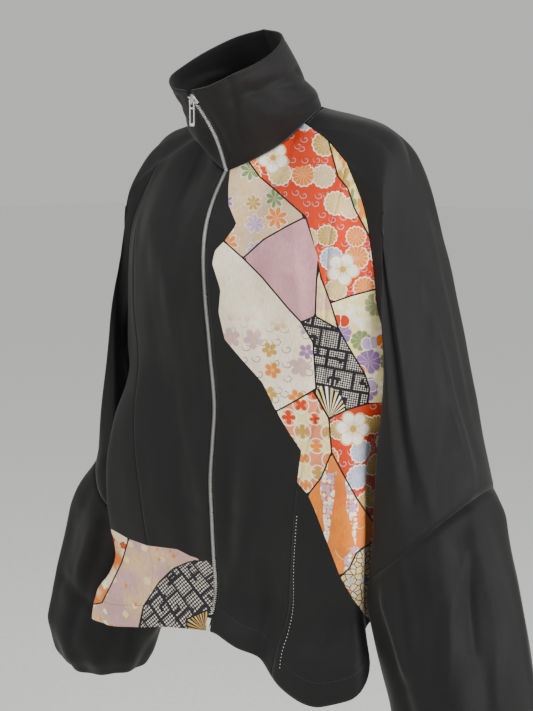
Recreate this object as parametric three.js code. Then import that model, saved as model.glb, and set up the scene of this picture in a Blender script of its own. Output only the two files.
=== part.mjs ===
// Kimono jacket: a hollow zip-front jacket in its worn form, with raglan sleeves gathered below the elbow.
// Millimetres, +Z up. +X is the wearer's left, -Y the front, and the origin lies level with the side neck.
import * as THREE from "three";

// Cloth and seams
const CLOTH = 1.6;
const COLLAR_CLOTH = 2.4;
const CUFF_CLOTH = 2;
const SEAM_GAP = 0.5;

// Zip
const ZIP_EDGE = 4;
const CHAIN_HALF = 3;
const CHAIN_OUT = 1.2;
const CHAIN_IN = 1.5;
const TAPE_HALF = 15;
const TAPE_THICK = 0.9;
const TAPE_CLEAR = 0.7;
const SLIDER_LENGTH = 11;
const SLIDER_BASE_HALF = 3.3;
const SLIDER_CAP_HALF = 4.9;
const SLIDER_CAP_OUT = 2.6;
const BAIL_LENGTH = 6.4;
const BAIL_HALF = 1;
const BAIL_ROOM = 2.2;
const BAIL_THICK = 1;
const TAB_LENGTH = 27;
const TAB_HALF = 4;
const TAB_THICK = 1.4;
const TAB_RAIL = 1.5;
const TAB_TOP_WINDOW = 5;
const BOX_LENGTH = 10;
const BOX_OUT = 1.9;

// Numbers of stretches along each seam and down each piece
const NECK_FRONT_STEPS = 4;
const YOKE_STEPS = 5;
const ARMHOLE_STEPS = 10;
const BACK_SEAM_STEPS = 15;
const NECK_BACK_STEPS = 4;
const NECK_SLEEVE_STEPS = 3;
const BODY_ROWS = 18;
const UPPER_ROWS = 12;
const LOWER_ROWS = 17;
const COLLAR_ROWS = 8;

function table(columns, rows) {
  return rows.map((row) => Object.fromEntries(columns.map((name, i) => [name, row[i]])));
}

// Smooth curve through a table's rows, read by its first column
function track(rows, key) {
  const names = Object.keys(rows[0]);
  const sorted = [...rows].sort((a, b) => a[key] - b[key]);
  const last = sorted.length - 1;
  const slope = (i, name) => {
    const a = sorted[Math.max(i - 1, 0)];
    const b = sorted[Math.min(i + 1, last)];
    return (b[name] - a[name]) / (b[key] - a[key]);
  };
  return (at) => {
    const t = Math.min(Math.max(at, sorted[0][key]), sorted[last][key]);
    let i = 0;
    while (i < last - 1 && sorted[i + 1][key] < t) i += 1;
    const span = sorted[i + 1][key] - sorted[i][key];
    const s = (t - sorted[i][key]) / span;
    const result = {};
    for (const name of names) {
      const p = sorted[i][name];
      const q = sorted[i + 1][name];
      const m = slope(i, name) * span;
      const n = slope(i + 1, name) * span;
      result[name] = p * (1 + 2 * s) * (1 - s) ** 2 + m * s * (1 - s) ** 2
        + q * s * s * (3 - 2 * s) - n * s * s * (1 - s);
    }
    return result;
  };
}

const ease = (t) => {
  const s = Math.min(Math.max(t, 0), 1);
  return s * s * (3 - 2 * s);
};
const mix = (a, b, t) => a + (b - a) * t;
const radians = THREE.MathUtils.degToRad;

// Body sections: half width, back, squareness of the front, and how far the side draws in beside the arm
const SECTIONS = track(table(["z", "half", "back", "square", "recess"], [
  [10, 66, 40, 2, 0],
  [-18, 80, 52, 2, 0],
  [-64, 181, 66, 2, 0],
  [-116, 203, 78, 2, 0],
  [-174, 218, 86, 2, 0],
  [-259, 226, 90, 2, 0],
  [-300, 230, 90, 2, 1],
  [-334, 230, 90, 2.4, 14],
  [-400, 234, 91, 4, 46],
  [-452, 240, 93, 4.5, 60],
  [-538, 251, 97, 4.5, 74],
  [-636, 262, 102, 4.5, 80],
  [-710, 266, 104, 4.5, 82],
]), "z");
const BODY_CENTRE = -10;
const BACK_SQUARE = 2.5;
const RECESS_FRONT = { from: 66, to: 84 };
const RECESS_BACK = { from: 100, to: 122 };

// Centre front line, down the zip
const FRONT_LINE = track(table(["z", "y"], [
  [10, -40],
  [-18, -52],
  [-50, -66],
  [-73, -76],
  [-106, -97],
  [-136, -109],
  [-179, -114],
  [-227, -112],
  [-275, -105],
  [-348, -97],
  [-396, -101],
  [-444, -105],
  [-492, -103],
  [-540, -99],
  [-577, -96],
  [-603, -101],
  [-629, -112],
  [-710, -122],
]), "z");

// Hem height by the angle round the body: 0 at the front, 180 at the back
const HEM_LEFT = track(table(["angle", "z"], [
  [0, -629],
  [10, -630],
  [25, -638],
  [40, -643],
  [51, -667],
  [60, -676],
  [66, -664],
  [72, -640],
  [78, -614],
  [90, -596],
  [120, -608],
  [150, -624],
  [180, -630],
]), "angle");
const HEM_RIGHT = track(table(["angle", "z"], [
  [0, -629],
  [34, -640],
  [52, -654],
  [64, -666],
  [73, -664],
  [80, -636],
  [90, -604],
  [120, -612],
  [150, -624],
  [180, -630],
]), "angle");

// Seam where the neck meets the collar, then front and back raglan seams, all for the wearer's left
const NECK_FRONT = table(["x", "y", "z"], [
  [ZIP_EDGE, -75.6, -72.6],
  [30, -66, -62],
  [55, -44, -44],
  [72, -17, -18],
]);
const NECK_SIDE = table(["x", "y", "z"], [
  [72, -17, -18],
  [75, 0, -5],
  [70, 16, 0],
  [60, 28, 3],
]);
const NECK_BACK = table(["x", "y", "z"], [
  [60, 28, 3],
  [34, 37, 5],
  [0, 40, 6],
]);
const RAGLAN_YOKE = table(["x", "y", "z"], [
  [72, -17, -18],
  [115, -27, -38],
  [155, -40, -64],
]);
const RAGLAN_FRONT = table(["x", "y", "z"], [
  [155, -40, -64],
  [186, -46, -116],
  [200, -48, -174],
  [208, -44, -235],
  [229, -10, -300],
]);
const RAGLAN_BACK = table(["x", "y", "z"], [
  [229, -10, -300],
  [212, 38, -240],
  [203, 56, -175],
  [184, 58, -112],
  [150, 50, -58],
  [108, 38, -20],
  [60, 28, 3],
]);

// Princess seam, left; the right one mirrors it
const PRINCESS = track(table(["z", "x"], [
  [-18, 140],
  [-64, 155],
  [-150, 160],
  [-255, 158],
  [-330, 151],
  [-450, 134],
  [-570, 118],
  [-670, 108],
]), "z");

// Soft folds of the body, from one end to the other: a plus height stands out, a minus one sinks in
const BODY_FOLDS = table(["x0", "z0", "x1", "z1", "wide", "high"], [
  [-206, -350, -212, -560, 16, 4],
  [-88, -364, -48, -520, 22, -5],
  [-130, -250, -150, -420, 24, 3],
  [-225, -600, -228, -680, 9, 4],
  [-198, -600, -200, -690, 9, -4],
  [28, -400, 30, -520, 13, -3],
  [66, -380, 26, -600, 17, 3.5],
  [96, -560, 92, -700, 15, -8],
  [150, -520, 152, -700, 30, 9],
  [205, -400, 214, -640, 18, 4],
  [120, -130, 60, -240, 24, 3],
  [-110, -120, -52, -240, 26, 3],
]);
const BACK_FOLDS = table(["x0", "z0", "x1", "z1", "wide", "high"], [
  [60, -200, 86, -560, 26, 5],
  [-70, -240, -98, -600, 28, 6],
  [140, -300, 152, -620, 22, -5],
  [-140, -260, -160, -620, 22, -5],
  [10, -320, -20, -640, 24, -4],
  [110, -120, 178, -250, 20, 4],
  [-106, -120, -178, -250, 20, 4],
]);
const HEM_GATHERS = 5;
const GATHER_DEPTH = 5;
const GATHER_HEIGHT = 60;
const GATHER_START = 104;

function edgeOf(angle, section, front) {
  const s = Math.abs(Math.sin(angle));
  const c = Math.cos(angle);
  const square = c > 0 ? section.square : BACK_SQUARE;
  const reach = c > 0 ? BODY_CENTRE - front : section.back - BODY_CENTRE;
  const degrees = THREE.MathUtils.radToDeg(Math.abs(angle));
  const recess = section.recess
    * ease((degrees - RECESS_FRONT.from) / (RECESS_FRONT.to - RECESS_FRONT.from))
    * ease((RECESS_BACK.to - degrees) / (RECESS_BACK.to - RECESS_BACK.from));
  return ((s / section.half) ** square + (Math.abs(c) / reach) ** square) ** (-1 / square) - recess;
}

// Height of a fold at a place, falling off across it and towards both ends
function foldLift(folds, x, z) {
  let lift = 0;
  for (const f of folds) {
    const dx = f.x1 - f.x0;
    const dz = f.z1 - f.z0;
    const along = ((x - f.x0) * dx + (z - f.z0) * dz) / (dx * dx + dz * dz);
    const t = Math.min(Math.max(along, 0), 1);
    const off = Math.hypot(x - f.x0 - dx * along, z - f.z0 - dz * along);
    const over = Math.abs(along - t) * Math.hypot(dx, dz);
    const ends = ease(0.25 + 1.5 * Math.min(t + 0.3, 1.3 - t));
    lift += f.high * ends * Math.exp(-((off / f.wide) ** 2) - (over / 40) ** 2);
  }
  return lift;
}

function bodyPoint(angle, z) {
  const section = SECTIONS(z);
  const front = FRONT_LINE(z).y;
  let reach = edgeOf(angle, section, front);
  const x = reach * Math.sin(angle);
  reach += foldLift(Math.cos(angle) > 0 ? BODY_FOLDS : BACK_FOLDS, x, z)
    * ease((Math.abs(Math.cos(angle)) - 0.05) * 4);
  const degrees = THREE.MathUtils.radToDeg(Math.abs(angle));
  if (degrees > GATHER_START) {
    const turn = (degrees - GATHER_START) / (180 - GATHER_START);
    const low = ease(1 - (z - HEM_LEFT(degrees).z) / GATHER_HEIGHT);
    reach += GATHER_DEPTH * low * Math.sin(turn * HEM_GATHERS * 2 * Math.PI) * ease(turn * 6);
  }
  return new THREE.Vector3(reach * Math.sin(angle), BODY_CENTRE - reach * Math.cos(angle), z);
}

// Angle round the front at which the body lies at a given distance from its centre line
function angleAt(x, z) {
  const section = SECTIONS(z);
  const front = FRONT_LINE(z).y;
  let low = 0;
  let high = radians(89);
  for (let i = 0; i < 26; i += 1) {
    const middle = (low + high) / 2;
    if (edgeOf(middle, section, front) * Math.sin(middle) < x) low = middle;
    else high = middle;
  }
  return low;
}

// Evenly spaced points along a smooth curve through a table
function seam(rows, steps) {
  const points = rows.map((p) => new THREE.Vector3(p.x, p.y, p.z));
  const curve = new THREE.CatmullRomCurve3(points, false, "centripetal");
  return curve.getSpacedPoints(steps);
}

const neckFront = seam(NECK_FRONT, NECK_FRONT_STEPS);
const neckSide = seam(NECK_SIDE, NECK_SLEEVE_STEPS * 2);
const neckBack = seam(NECK_BACK, NECK_BACK_STEPS);
const raglanYoke = seam(RAGLAN_YOKE, YOKE_STEPS);
const raglanFront = seam(RAGLAN_FRONT, ARMHOLE_STEPS);
const raglanBack = seam(RAGLAN_BACK, BACK_SEAM_STEPS);

const TOP_BLEND = 0.3;

// One column of a body panel: from the hem up to a point of its top seam
function bodyColumn(top, angleOf, side, hemAngle) {
  const topAngle = angleOf(top.z);
  const hem = (side > 0 ? HEM_LEFT : HEM_RIGHT)(THREE.MathUtils.radToDeg(hemAngle)).z;
  const base = bodyPoint(side * topAngle, top.z);
  const shift = new THREE.Vector3(side * top.x, top.y, top.z).sub(base);
  const column = [];
  for (let j = 0; j <= BODY_ROWS; j += 1) {
    const t = j / BODY_ROWS;
    const z = mix(hem, top.z, t);
    const weight = ease((t - 1 + TOP_BLEND) / TOP_BLEND);
    column.push(bodyPoint(side * angleOf(z), z).addScaledVector(shift, weight));
  }
  return column;
}

function frontCentre(side) {
  const tops = [...neckFront, ...raglanYoke.slice(1)];
  return tops.map((top) => {
    const share = (top.x - ZIP_EDGE) / (155 - ZIP_EDGE);
    const angleOf = (z) => angleAt(mix(ZIP_EDGE, PRINCESS(z).x, share), z);
    return bodyColumn(top, angleOf, side, angleOf(-640));
  });
}

function frontSide(side) {
  return raglanFront.map((top, i) => {
    const share = i / ARMHOLE_STEPS;
    const topAngle = Math.atan2(top.x, BODY_CENTRE - top.y);
    const low = (z) => mix(angleAt(PRINCESS(z).x, z), Math.PI / 2, share);
    const angleOf = (z) => low(z) + (topAngle - low(top.z)) * ease((z + 560) / (top.z + 560));
    return bodyColumn(top, i === 0 ? low : angleOf, side, low(-640));
  });
}

function backHalf(side) {
  const tops = [...raglanBack, ...neckBack.slice(1)];
  const last = tops.length - 1;
  return tops.map((top, i) => {
    const share = i / last;
    const topAngle = i === last ? Math.PI : Math.atan2(top.x, BODY_CENTRE - top.y);
    const low = mix(Math.PI / 2, Math.PI, share);
    const angleOf = (z) => low + (topAngle - low) * ease((z + 560) / (top.z + 560));
    return bodyColumn(top, angleOf, side, low);
  });
}

// Upper sleeve rings for the wearer's left: top, under, front and back point of each
const UPPER = track(table(
  ["v", "tx", "ty", "tz", "ux", "uy", "uz", "fx", "fy", "fz", "kx", "ky", "kz"],
  [
    [0, 76, 0, -3, 229, -10, -300, 186, -46, -116, 184, 58, -112],
    [0.22, 187, 2, -33, 236, -7, -328, 210, -50, -168, 206, 64, -160],
    [0.45, 210, 5, -116, 225, -2, -368, 220.4, -57, -238, 222, 72, -228],
    [0.65, 236, 8, -214, 210, 2, -414, 228, -62, -320, 234, 78, -306],
    [0.83, 264, 11, -322, 200, 0, -464, 234, -67, -406, 244, 82, -388],
    [1, 300, 14, -437, 194, -6, -528, 242, -72, -508, 256, 84, -462],
  ],
), "v");
const UPPER_BLEND = 0.42;

// Lower sleeve rings: centre, half width, half depth and the rise of the outer side
const LOWER = track(table(["w", "cx", "cy", "cz", "rx", "ry", "rise"], [
  [0, 243, 4, -482, 60, 78.5, 45],
  [0.09, 253, 6, -514, 71, 85, 42],
  [0.22, 267, 7, -562, 77, 87, 34],
  [0.36, 283, 5, -616, 80, 86, 24],
  [0.5, 298, 0, -664, 82, 83, 14],
  [0.64, 308, -6, -710, 81, 79, 7],
  [0.76, 307, -10, -746, 70, 70, 2],
  [0.83, 304, -11, -762, 60, 60, 0],
  [0.88, 302, -12, -771, 52, 52, 0],
  [0.92, 301, -12, -769, 46, 46, 0],
  [0.96, 301, -12, -757, 42.6, 42.6, 0],
  [1, 301, -12, -742, 40.7, 40.7, 0],
]), "w");
const CUFF_CENTRE = { x: 301, y: -12 };
const CUFF_RADIUS = 40.3;
const CUFF_TOP = -740;
const CUFF_HEIGHT = 24;

// Folds of the sleeves: place round the ring in degrees, place along, both at each end
const UPPER_FOLDS = table(["a0", "v0", "a1", "v1", "wide", "high"], [
  [52, 0.2, 44, 1, 13, 6],
  [84, 0.35, 66, 1, 12, 4],
  [66, 0.3, 56, 0.9, 10, -4],
  [120, 0.5, 112, 1, 14, 4],
  [300, 0.3, 318, 1, 15, 6],
  [268, 0.4, 280, 1, 13, -4],
  [12, 0.5, 8, 1, 16, -4],
]);
const LOWER_FOLDS = table(["a0", "v0", "a1", "v1", "wide", "high"], [
  [44, 0, 58, 0.6, 13, 6],
  [30, 0.05, 34, 0.5, 11, -4],
  [100, 0.02, 92, 0.3, 9, 5],
  [108, 0.1, 96, 0.7, 12, -5],
  [200, 0, 190, 0.6, 14, 5],
  [262, 0, 270, 0.7, 14, 6],
  [320, 0, 312, 0.6, 14, -5],
]);
const ELBOW_GATHERS = 9;
const ELBOW_DEPTH = 2.6;
const CUFF_GATHERS = 9;
const CUFF_DEPTH = 3;

// Loop of the raglan seam round the shoulder, with its place round the sleeve's ring
const halfNeck = NECK_SLEEVE_STEPS;
const raglanLoop = [
  ...neckSide.slice(0, halfNeck + 1).reverse(),
  ...raglanYoke.slice(1),
  ...raglanFront.slice(1),
  ...raglanBack.slice(1),
  ...neckSide.slice(halfNeck + 1, -1).reverse(),
];
const ARMPIT = halfNeck + YOKE_STEPS + ARMHOLE_STEPS;
const loopAngles = (() => {
  const count = raglanLoop.length;
  const run = [0];
  for (let i = 1; i <= count; i += 1) {
    run.push(run[i - 1] + raglanLoop[i - 1].distanceTo(raglanLoop[i % count]));
  }
  return raglanLoop.map((_, i) => (i <= ARMPIT
    ? (Math.PI * run[i]) / run[ARMPIT]
    : Math.PI + (Math.PI * (run[i] - run[ARMPIT])) / (run[count] - run[ARMPIT])));
})();

function ringPoint(angle, top, under, front, back) {
  const point = new THREE.Vector3();
  for (const axis of ["x", "y", "z"]) {
    const across = (top[axis] + under[axis]) / 2;
    const deep = (front[axis] + back[axis]) / 2;
    point[axis] = across + ((top[axis] - under[axis]) / 2) * Math.cos(angle)
      + ((front[axis] - back[axis]) / 2) * Math.sin(angle)
      + (deep - across) * Math.sin(angle) ** 2;
  }
  return point;
}

function upperRing(angle, v) {
  const r = UPPER(v);
  return ringPoint(angle, { x: r.tx, y: r.ty, z: r.tz }, { x: r.ux, y: r.uy, z: r.uz },
    { x: r.fx, y: r.fy, z: r.fz }, { x: r.kx, y: r.ky, z: r.kz });
}

function lowerRing(angle, w) {
  const r = LOWER(w);
  const rise = Math.cos(angle) * r.rise + Math.sin(angle) * -r.rise * 0.5;
  return new THREE.Vector3(r.cx + r.rx * Math.cos(angle), r.cy - r.ry * Math.sin(angle), r.cz + rise);
}

// Fold height on a tube, where the ring's reach turns degrees into a distance
function tubeLift(folds, angle, v, reach, span) {
  let lift = 0;
  const degrees = THREE.MathUtils.radToDeg(angle);
  for (const f of folds) {
    const along = (v - f.v0) / (f.v1 - f.v0);
    const t = Math.min(Math.max(along, 0), 1);
    let turn = degrees - mix(f.a0, f.a1, t);
    turn -= 360 * Math.round(turn / 360);
    const off = radians(turn) * reach;
    const over = Math.abs(along - t) * Math.abs(f.v1 - f.v0) * span;
    lift += f.high * Math.exp(-((off / f.wide) ** 2) - (over / 30) ** 2) * ease(0.3 + 2 * t);
  }
  return lift;
}

function upperSleeve() {
  return raglanLoop.map((start, i) => {
    const angle = loopAngles[i];
    const shift = start.clone().sub(upperRing(angle, 0));
    const column = [];
    for (let j = 0; j <= UPPER_ROWS; j += 1) {
      const v = j / UPPER_ROWS;
      const ring = upperRing(angle, v);
      const out = ring.clone().sub(new THREE.Vector3(mix(180, 243, v), 4, ring.z)).normalize();
      const fade = ease(v * 4) * ease((1 - v) * 5);
      const lift = tubeLift(UPPER_FOLDS, angle, v, 70, 400) * fade;
      column.push(ring.addScaledVector(shift, 1 - ease(v / UPPER_BLEND)).addScaledVector(out, lift));
    }
    return column;
  });
}

function lowerSleeve(upper) {
  return loopAngles.map((angle, i) => {
    const start = upper[i][UPPER_ROWS];
    const shift = start.clone().sub(lowerRing(angle, 0));
    const column = [start.clone()];
    for (let j = 1; j <= LOWER_ROWS; j += 1) {
      const w = (j / LOWER_ROWS) ** 0.82;
      const ring = lowerRing(angle, w);
      const r = LOWER(w);
      const out = new THREE.Vector3(Math.cos(angle), -Math.sin(angle), 0);
      const gather = ELBOW_DEPTH * Math.sin(angle * ELBOW_GATHERS) * ease(w * 12) * ease(1 - w * 2.6);
      const draw = CUFF_DEPTH * Math.sin(angle * CUFF_GATHERS) * ease((w - 0.6) * 5) * ease((0.98 - w) * 7);
      const lift = tubeLift(LOWER_FOLDS, angle, w, r.rx, 420) * ease(w * 8) * ease((0.86 - w) * 4);
      column.push(ring.addScaledVector(shift, 1 - ease(w / 0.2)).addScaledVector(out, lift + gather + draw));
    }
    return column;
  });
}

// Collar: a tall stand that slouches forward, from the neck seam to its open top
const COLLAR_TOP = table(["x", "y", "z"], [
  [ZIP_EDGE, -137, 17],
  [28, -135, 21],
  [52, -119, 34],
  [64, -86, 50],
  [59, -48, 70],
  [38, -20, 87],
  [0, -10, 95],
]);
const COLLAR_BULGE = track(table(["t", "out"], [
  [0, 0],
  [0.25, 5],
  [0.5, 3],
  [0.75, 2],
  [1, 0],
]), "t");
const COLLAR_HOLLOW = 10;
const COLLAR_CREASES = table(["s0", "t0", "s1", "t1", "wide", "high"], [
  [0.22, 0.74, 0.62, 0.6, 0.07, -5],
  [0.1, 0.9, 0.14, 0.1, 0.03, -3],
  [0.5, 0.35, 0.95, 0.5, 0.08, -4],
  [0.3, 0.4, 0.55, 0.25, 0.08, 3],
]);

function collarHalf() {
  const base = [...neckFront, ...neckSide.slice(1), ...neckBack.slice(1)];
  const steps = base.length - 1;
  const top = seam(COLLAR_TOP, steps);
  return base.map((low, i) => {
    const s = i / steps;
    const column = [];
    for (let j = 0; j <= COLLAR_ROWS; j += 1) {
      const t = j / COLLAR_ROWS;
      const point = low.clone().lerp(top[i], t);
      const middle = new THREE.Vector3(0, mix(-12, -72, t), point.z);
      const out = point.clone().sub(middle).normalize();
      let lift = COLLAR_BULGE(t).out * ease(s * 8);
      lift -= COLLAR_HOLLOW * Math.sin(Math.PI * t) * (1 - ease(s * 7));
      for (const c of COLLAR_CREASES) {
        const along = ((s - c.s0) * (c.s1 - c.s0) + (t - c.t0) * (c.t1 - c.t0))
          / ((c.s1 - c.s0) ** 2 + (c.t1 - c.t0) ** 2);
        const near = Math.min(Math.max(along, 0), 1);
        const off = Math.hypot(s - mix(c.s0, c.s1, near), t - mix(c.t0, c.t1, near));
        lift += c.high * Math.exp(-((off / c.wide) ** 2)) * ease(t * 5) * ease(s * 12);
      }
      column.push(point.addScaledVector(out, lift));
    }
    return column;
  });
}

const mirrored = (grid) => grid.map((column) => column.map((p) => new THREE.Vector3(-p.x, p.y, p.z)));

// Looks
function material(color, roughness, metalness) {
  return new THREE.MeshStandardMaterial({ color, roughness, metalness });
}
const BLACK = material(0x17161a, 0.7, 0);
const PRINTED = material(0xc9693f, 0.7, 0);
const TAPE = material(0x101012, 0.9, 0);
const SILVER = material(0xc8c8cc, 0.3, 1);

const cloth = [];
function addCloth(name, grid, wall, colour, closed) {
  cloth.push({ name, grid, wall, colour, closed });
}

const collarLeft = collarHalf();
addCloth("collar", [...collarLeft, ...mirrored(collarLeft).reverse().slice(1)], COLLAR_CLOTH, BLACK, false);
const sleeveUpper = upperSleeve();
const sleeveLower = lowerSleeve(sleeveUpper);
for (const [side, label] of [[1, "left"], [-1, "right"]]) {
  const turn = side > 0 ? (grid) => grid : mirrored;
  addCloth(`front_${label}_centre`, frontCentre(side), CLOTH, BLACK, false);
  addCloth(`front_${label}_side`, frontSide(side), CLOTH, side > 0 ? PRINTED : BLACK, false);
  addCloth(`back_${label}`, backHalf(side), CLOTH, BLACK, false);
  addCloth(`sleeve_${label}_upper`, turn(sleeveUpper), CLOTH, BLACK, true);
  addCloth(`sleeve_${label}_lower`, turn(sleeveLower), CLOTH, BLACK, true);
}

// Outward direction at each point of a grid
function normalsOf(piece) {
  const { grid, closed } = piece;
  const columns = grid.length;
  const rows = grid[0].length;
  const at = (i) => (closed ? (i + columns) % columns : Math.min(Math.max(i, 0), columns - 1));
  const result = grid.map((column, i) => column.map((_, j) => {
    const across = grid[at(i + 1)][j].clone().sub(grid[at(i - 1)][j]);
    const up = grid[i][Math.min(j + 1, rows - 1)].clone().sub(grid[i][Math.max(j - 1, 0)]);
    return across.cross(up).normalize();
  }));
  const i = Math.floor(columns / 3);
  const j = Math.floor(rows / 2);
  const middle = new THREE.Vector3();
  if (closed) {
    for (const column of grid) middle.addScaledVector(column[j], 1 / columns);
  } else {
    middle.set(0, -30, grid[i][j].z);
  }
  const sign = result[i][j].dot(grid[i][j].clone().sub(middle)) > 0 ? 1 : -1;
  for (const column of result) for (const normal of column) normal.multiplyScalar(sign);
  return result;
}

// Pieces that meet at a seam share one direction there, so that their walls end face to face
for (const piece of cloth) piece.normals = normalsOf(piece);
const shared = new Map();
const keyOf = (p) => [p.x, p.y, p.z].map((value) => Math.round(value * 20)).join(" ");
for (const piece of cloth) {
  piece.grid.forEach((column, i) => column.forEach((point, j) => {
    const key = keyOf(point);
    if (!shared.has(key)) shared.set(key, new THREE.Vector3());
    shared.get(key).add(piece.normals[i][j]);
  }));
}
for (const piece of cloth) {
  const sharedAt = (point) => shared.get(keyOf(point)).clone().normalize();
  piece.normals = piece.grid.map((column) => column.map(sharedAt));
}

// Closed wall over a grid: outer face, inner face and the edges between them
function wallMesh(outer, inner, closed) {
  const columns = outer.length;
  const rows = outer[0].length;
  const positions = [];
  for (const p of [...outer, ...inner].flat()) positions.push(p.x, p.y, p.z);
  const id = (layer, i, j) => layer * columns * rows + (i % columns) * rows + j;
  const faces = [];
  const quad = (a, b, c, d) => faces.push(a, b, c, a, c, d);
  const spans = closed ? columns : columns - 1;
  for (let i = 0; i < spans; i += 1) {
    for (let j = 0; j < rows - 1; j += 1) {
      quad(id(0, i, j), id(0, i + 1, j), id(0, i + 1, j + 1), id(0, i, j + 1));
      quad(id(1, i, j), id(1, i, j + 1), id(1, i + 1, j + 1), id(1, i + 1, j));
    }
    quad(id(0, i, 0), id(1, i, 0), id(1, i + 1, 0), id(0, i + 1, 0));
    quad(id(0, i, rows - 1), id(0, i + 1, rows - 1), id(1, i + 1, rows - 1), id(1, i, rows - 1));
  }
  if (!closed) {
    for (let j = 0; j < rows - 1; j += 1) {
      quad(id(0, 0, j), id(0, 0, j + 1), id(1, 0, j + 1), id(1, 0, j));
      quad(
        id(0, columns - 1, j), id(1, columns - 1, j), id(1, columns - 1, j + 1), id(0, columns - 1, j + 1),
      );
    }
  }
  return outward(positions, faces);
}

function outward(positions, faces) {
  const point = (i) => new THREE.Vector3(positions[3 * i], positions[3 * i + 1], positions[3 * i + 2]);
  let volume = 0;
  for (let i = 0; i < faces.length; i += 3) {
    volume += point(faces[i]).dot(point(faces[i + 1]).cross(point(faces[i + 2])));
  }
  if (volume < 0) {
    for (let i = 0; i < faces.length; i += 3) [faces[i], faces[i + 1]] = [faces[i + 1], faces[i]];
  }
  const geometry = new THREE.BufferGeometry();
  geometry.setAttribute("position", new THREE.Float32BufferAttribute(positions, 3));
  geometry.setIndex(faces);
  geometry.computeVertexNormals();
  return geometry;
}

const group = new THREE.Group();
function addMesh(name, geometry, colour) {
  const mesh = new THREE.Mesh(geometry, colour);
  mesh.name = name;
  group.add(mesh);
  return mesh;
}

// Border points step back along the cloth by half the seam's gap
function trimmed(piece) {
  const { grid, closed } = piece;
  const columns = grid.length;
  const rows = grid[0].length;
  const half = SEAM_GAP / 2;
  return grid.map((column, i) => column.map((point, j) => {
    const result = point.clone();
    const inward = (other) => other.clone().sub(point).normalize().multiplyScalar(half);
    if (j === 0) result.add(inward(column[1]));
    if (j === rows - 1) result.add(inward(column[rows - 2]));
    if (!closed && i === 0) result.add(inward(grid[1][j]));
    if (!closed && i === columns - 1) result.add(inward(grid[columns - 2][j]));
    return result;
  }));
}

for (const piece of cloth) {
  const outer = trimmed(piece);
  const inner = outer.map((column, i) => column.map((p, j) => (
    p.clone().addScaledVector(piece.normals[i][j], -piece.wall))));
  addMesh(piece.name, wallMesh(outer, inner, piece.closed), piece.colour);
}

// Elastic cuffs, plain bands inside the foot of each puff
for (const [side, label] of [[1, "left"], [-1, "right"]]) {
  const profile = [
    new THREE.Vector2(CUFF_RADIUS - CUFF_CLOTH, -CUFF_HEIGHT),
    new THREE.Vector2(CUFF_RADIUS, -CUFF_HEIGHT),
    new THREE.Vector2(CUFF_RADIUS, 0),
    new THREE.Vector2(CUFF_RADIUS - CUFF_CLOTH, 0),
    new THREE.Vector2(CUFF_RADIUS - CUFF_CLOTH, -CUFF_HEIGHT),
  ];
  const geometry = new THREE.LatheGeometry(profile, 36);
  geometry.rotateX(Math.PI / 2);
  geometry.translate(side * CUFF_CENTRE.x, CUFF_CENTRE.y, CUFF_TOP);
  addMesh(`cuff_${label}`, geometry, BLACK);
}

// Centre front line, hem to collar top, with the outward direction at each row
const frontGrid = cloth.find((piece) => piece.name === "front_left_centre");
const collarGrid = cloth.find((piece) => piece.name === "collar");
const zipRows = [
  ...frontGrid.grid[0].map((point, j) => ({ point, normal: frontGrid.normals[0][j] })),
  ...collarGrid.grid[0].slice(1).map((point, j) => ({ point, normal: collarGrid.normals[0][j + 1] })),
].map(({ point, normal }) => ({
  point: new THREE.Vector3(0, point.y, point.z),
  normal: new THREE.Vector3(0, normal.y, normal.z).normalize(),
}));
const lengthAt = [0];
for (let i = 1; i < zipRows.length; i += 1) {
  lengthAt.push(lengthAt[i - 1] + zipRows[i].point.distanceTo(zipRows[i - 1].point));
}
const zipLength = lengthAt[lengthAt.length - 1];

function zipAt(length) {
  let i = 1;
  while (i < zipRows.length - 1 && lengthAt[i] < length) i += 1;
  const t = (length - lengthAt[i - 1]) / (lengthAt[i] - lengthAt[i - 1]);
  return {
    point: zipRows[i - 1].point.clone().lerp(zipRows[i].point, t),
    normal: zipRows[i - 1].normal.clone().lerp(zipRows[i].normal, t).normalize(),
  };
}

// Strip that follows the zip between two lengths, from one depth to another and one side to another
function zipStrip(name, from, to, left, right, outAt, inAt, colour) {
  const stops = [from, ...lengthAt.filter((length) => length > from + 1 && length < to - 1), to];
  const outer = [left, right].map((x) => stops.map((length) => {
    const { point, normal } = zipAt(length);
    return point.addScaledVector(normal, outAt(length)).setX(x);
  }));
  const inner = [left, right].map((x) => stops.map((length) => {
    const { point, normal } = zipAt(length);
    return point.addScaledVector(normal, inAt(length)).setX(x);
  }));
  addMesh(name, wallMesh(outer, inner, false), colour);
}

const neckLength = lengthAt[BODY_ROWS];
const wallAt = (length) => mix(CLOTH, COLLAR_CLOTH, ease((length - neckLength + 30) / 30));
const TAPE_END = 6;

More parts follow.
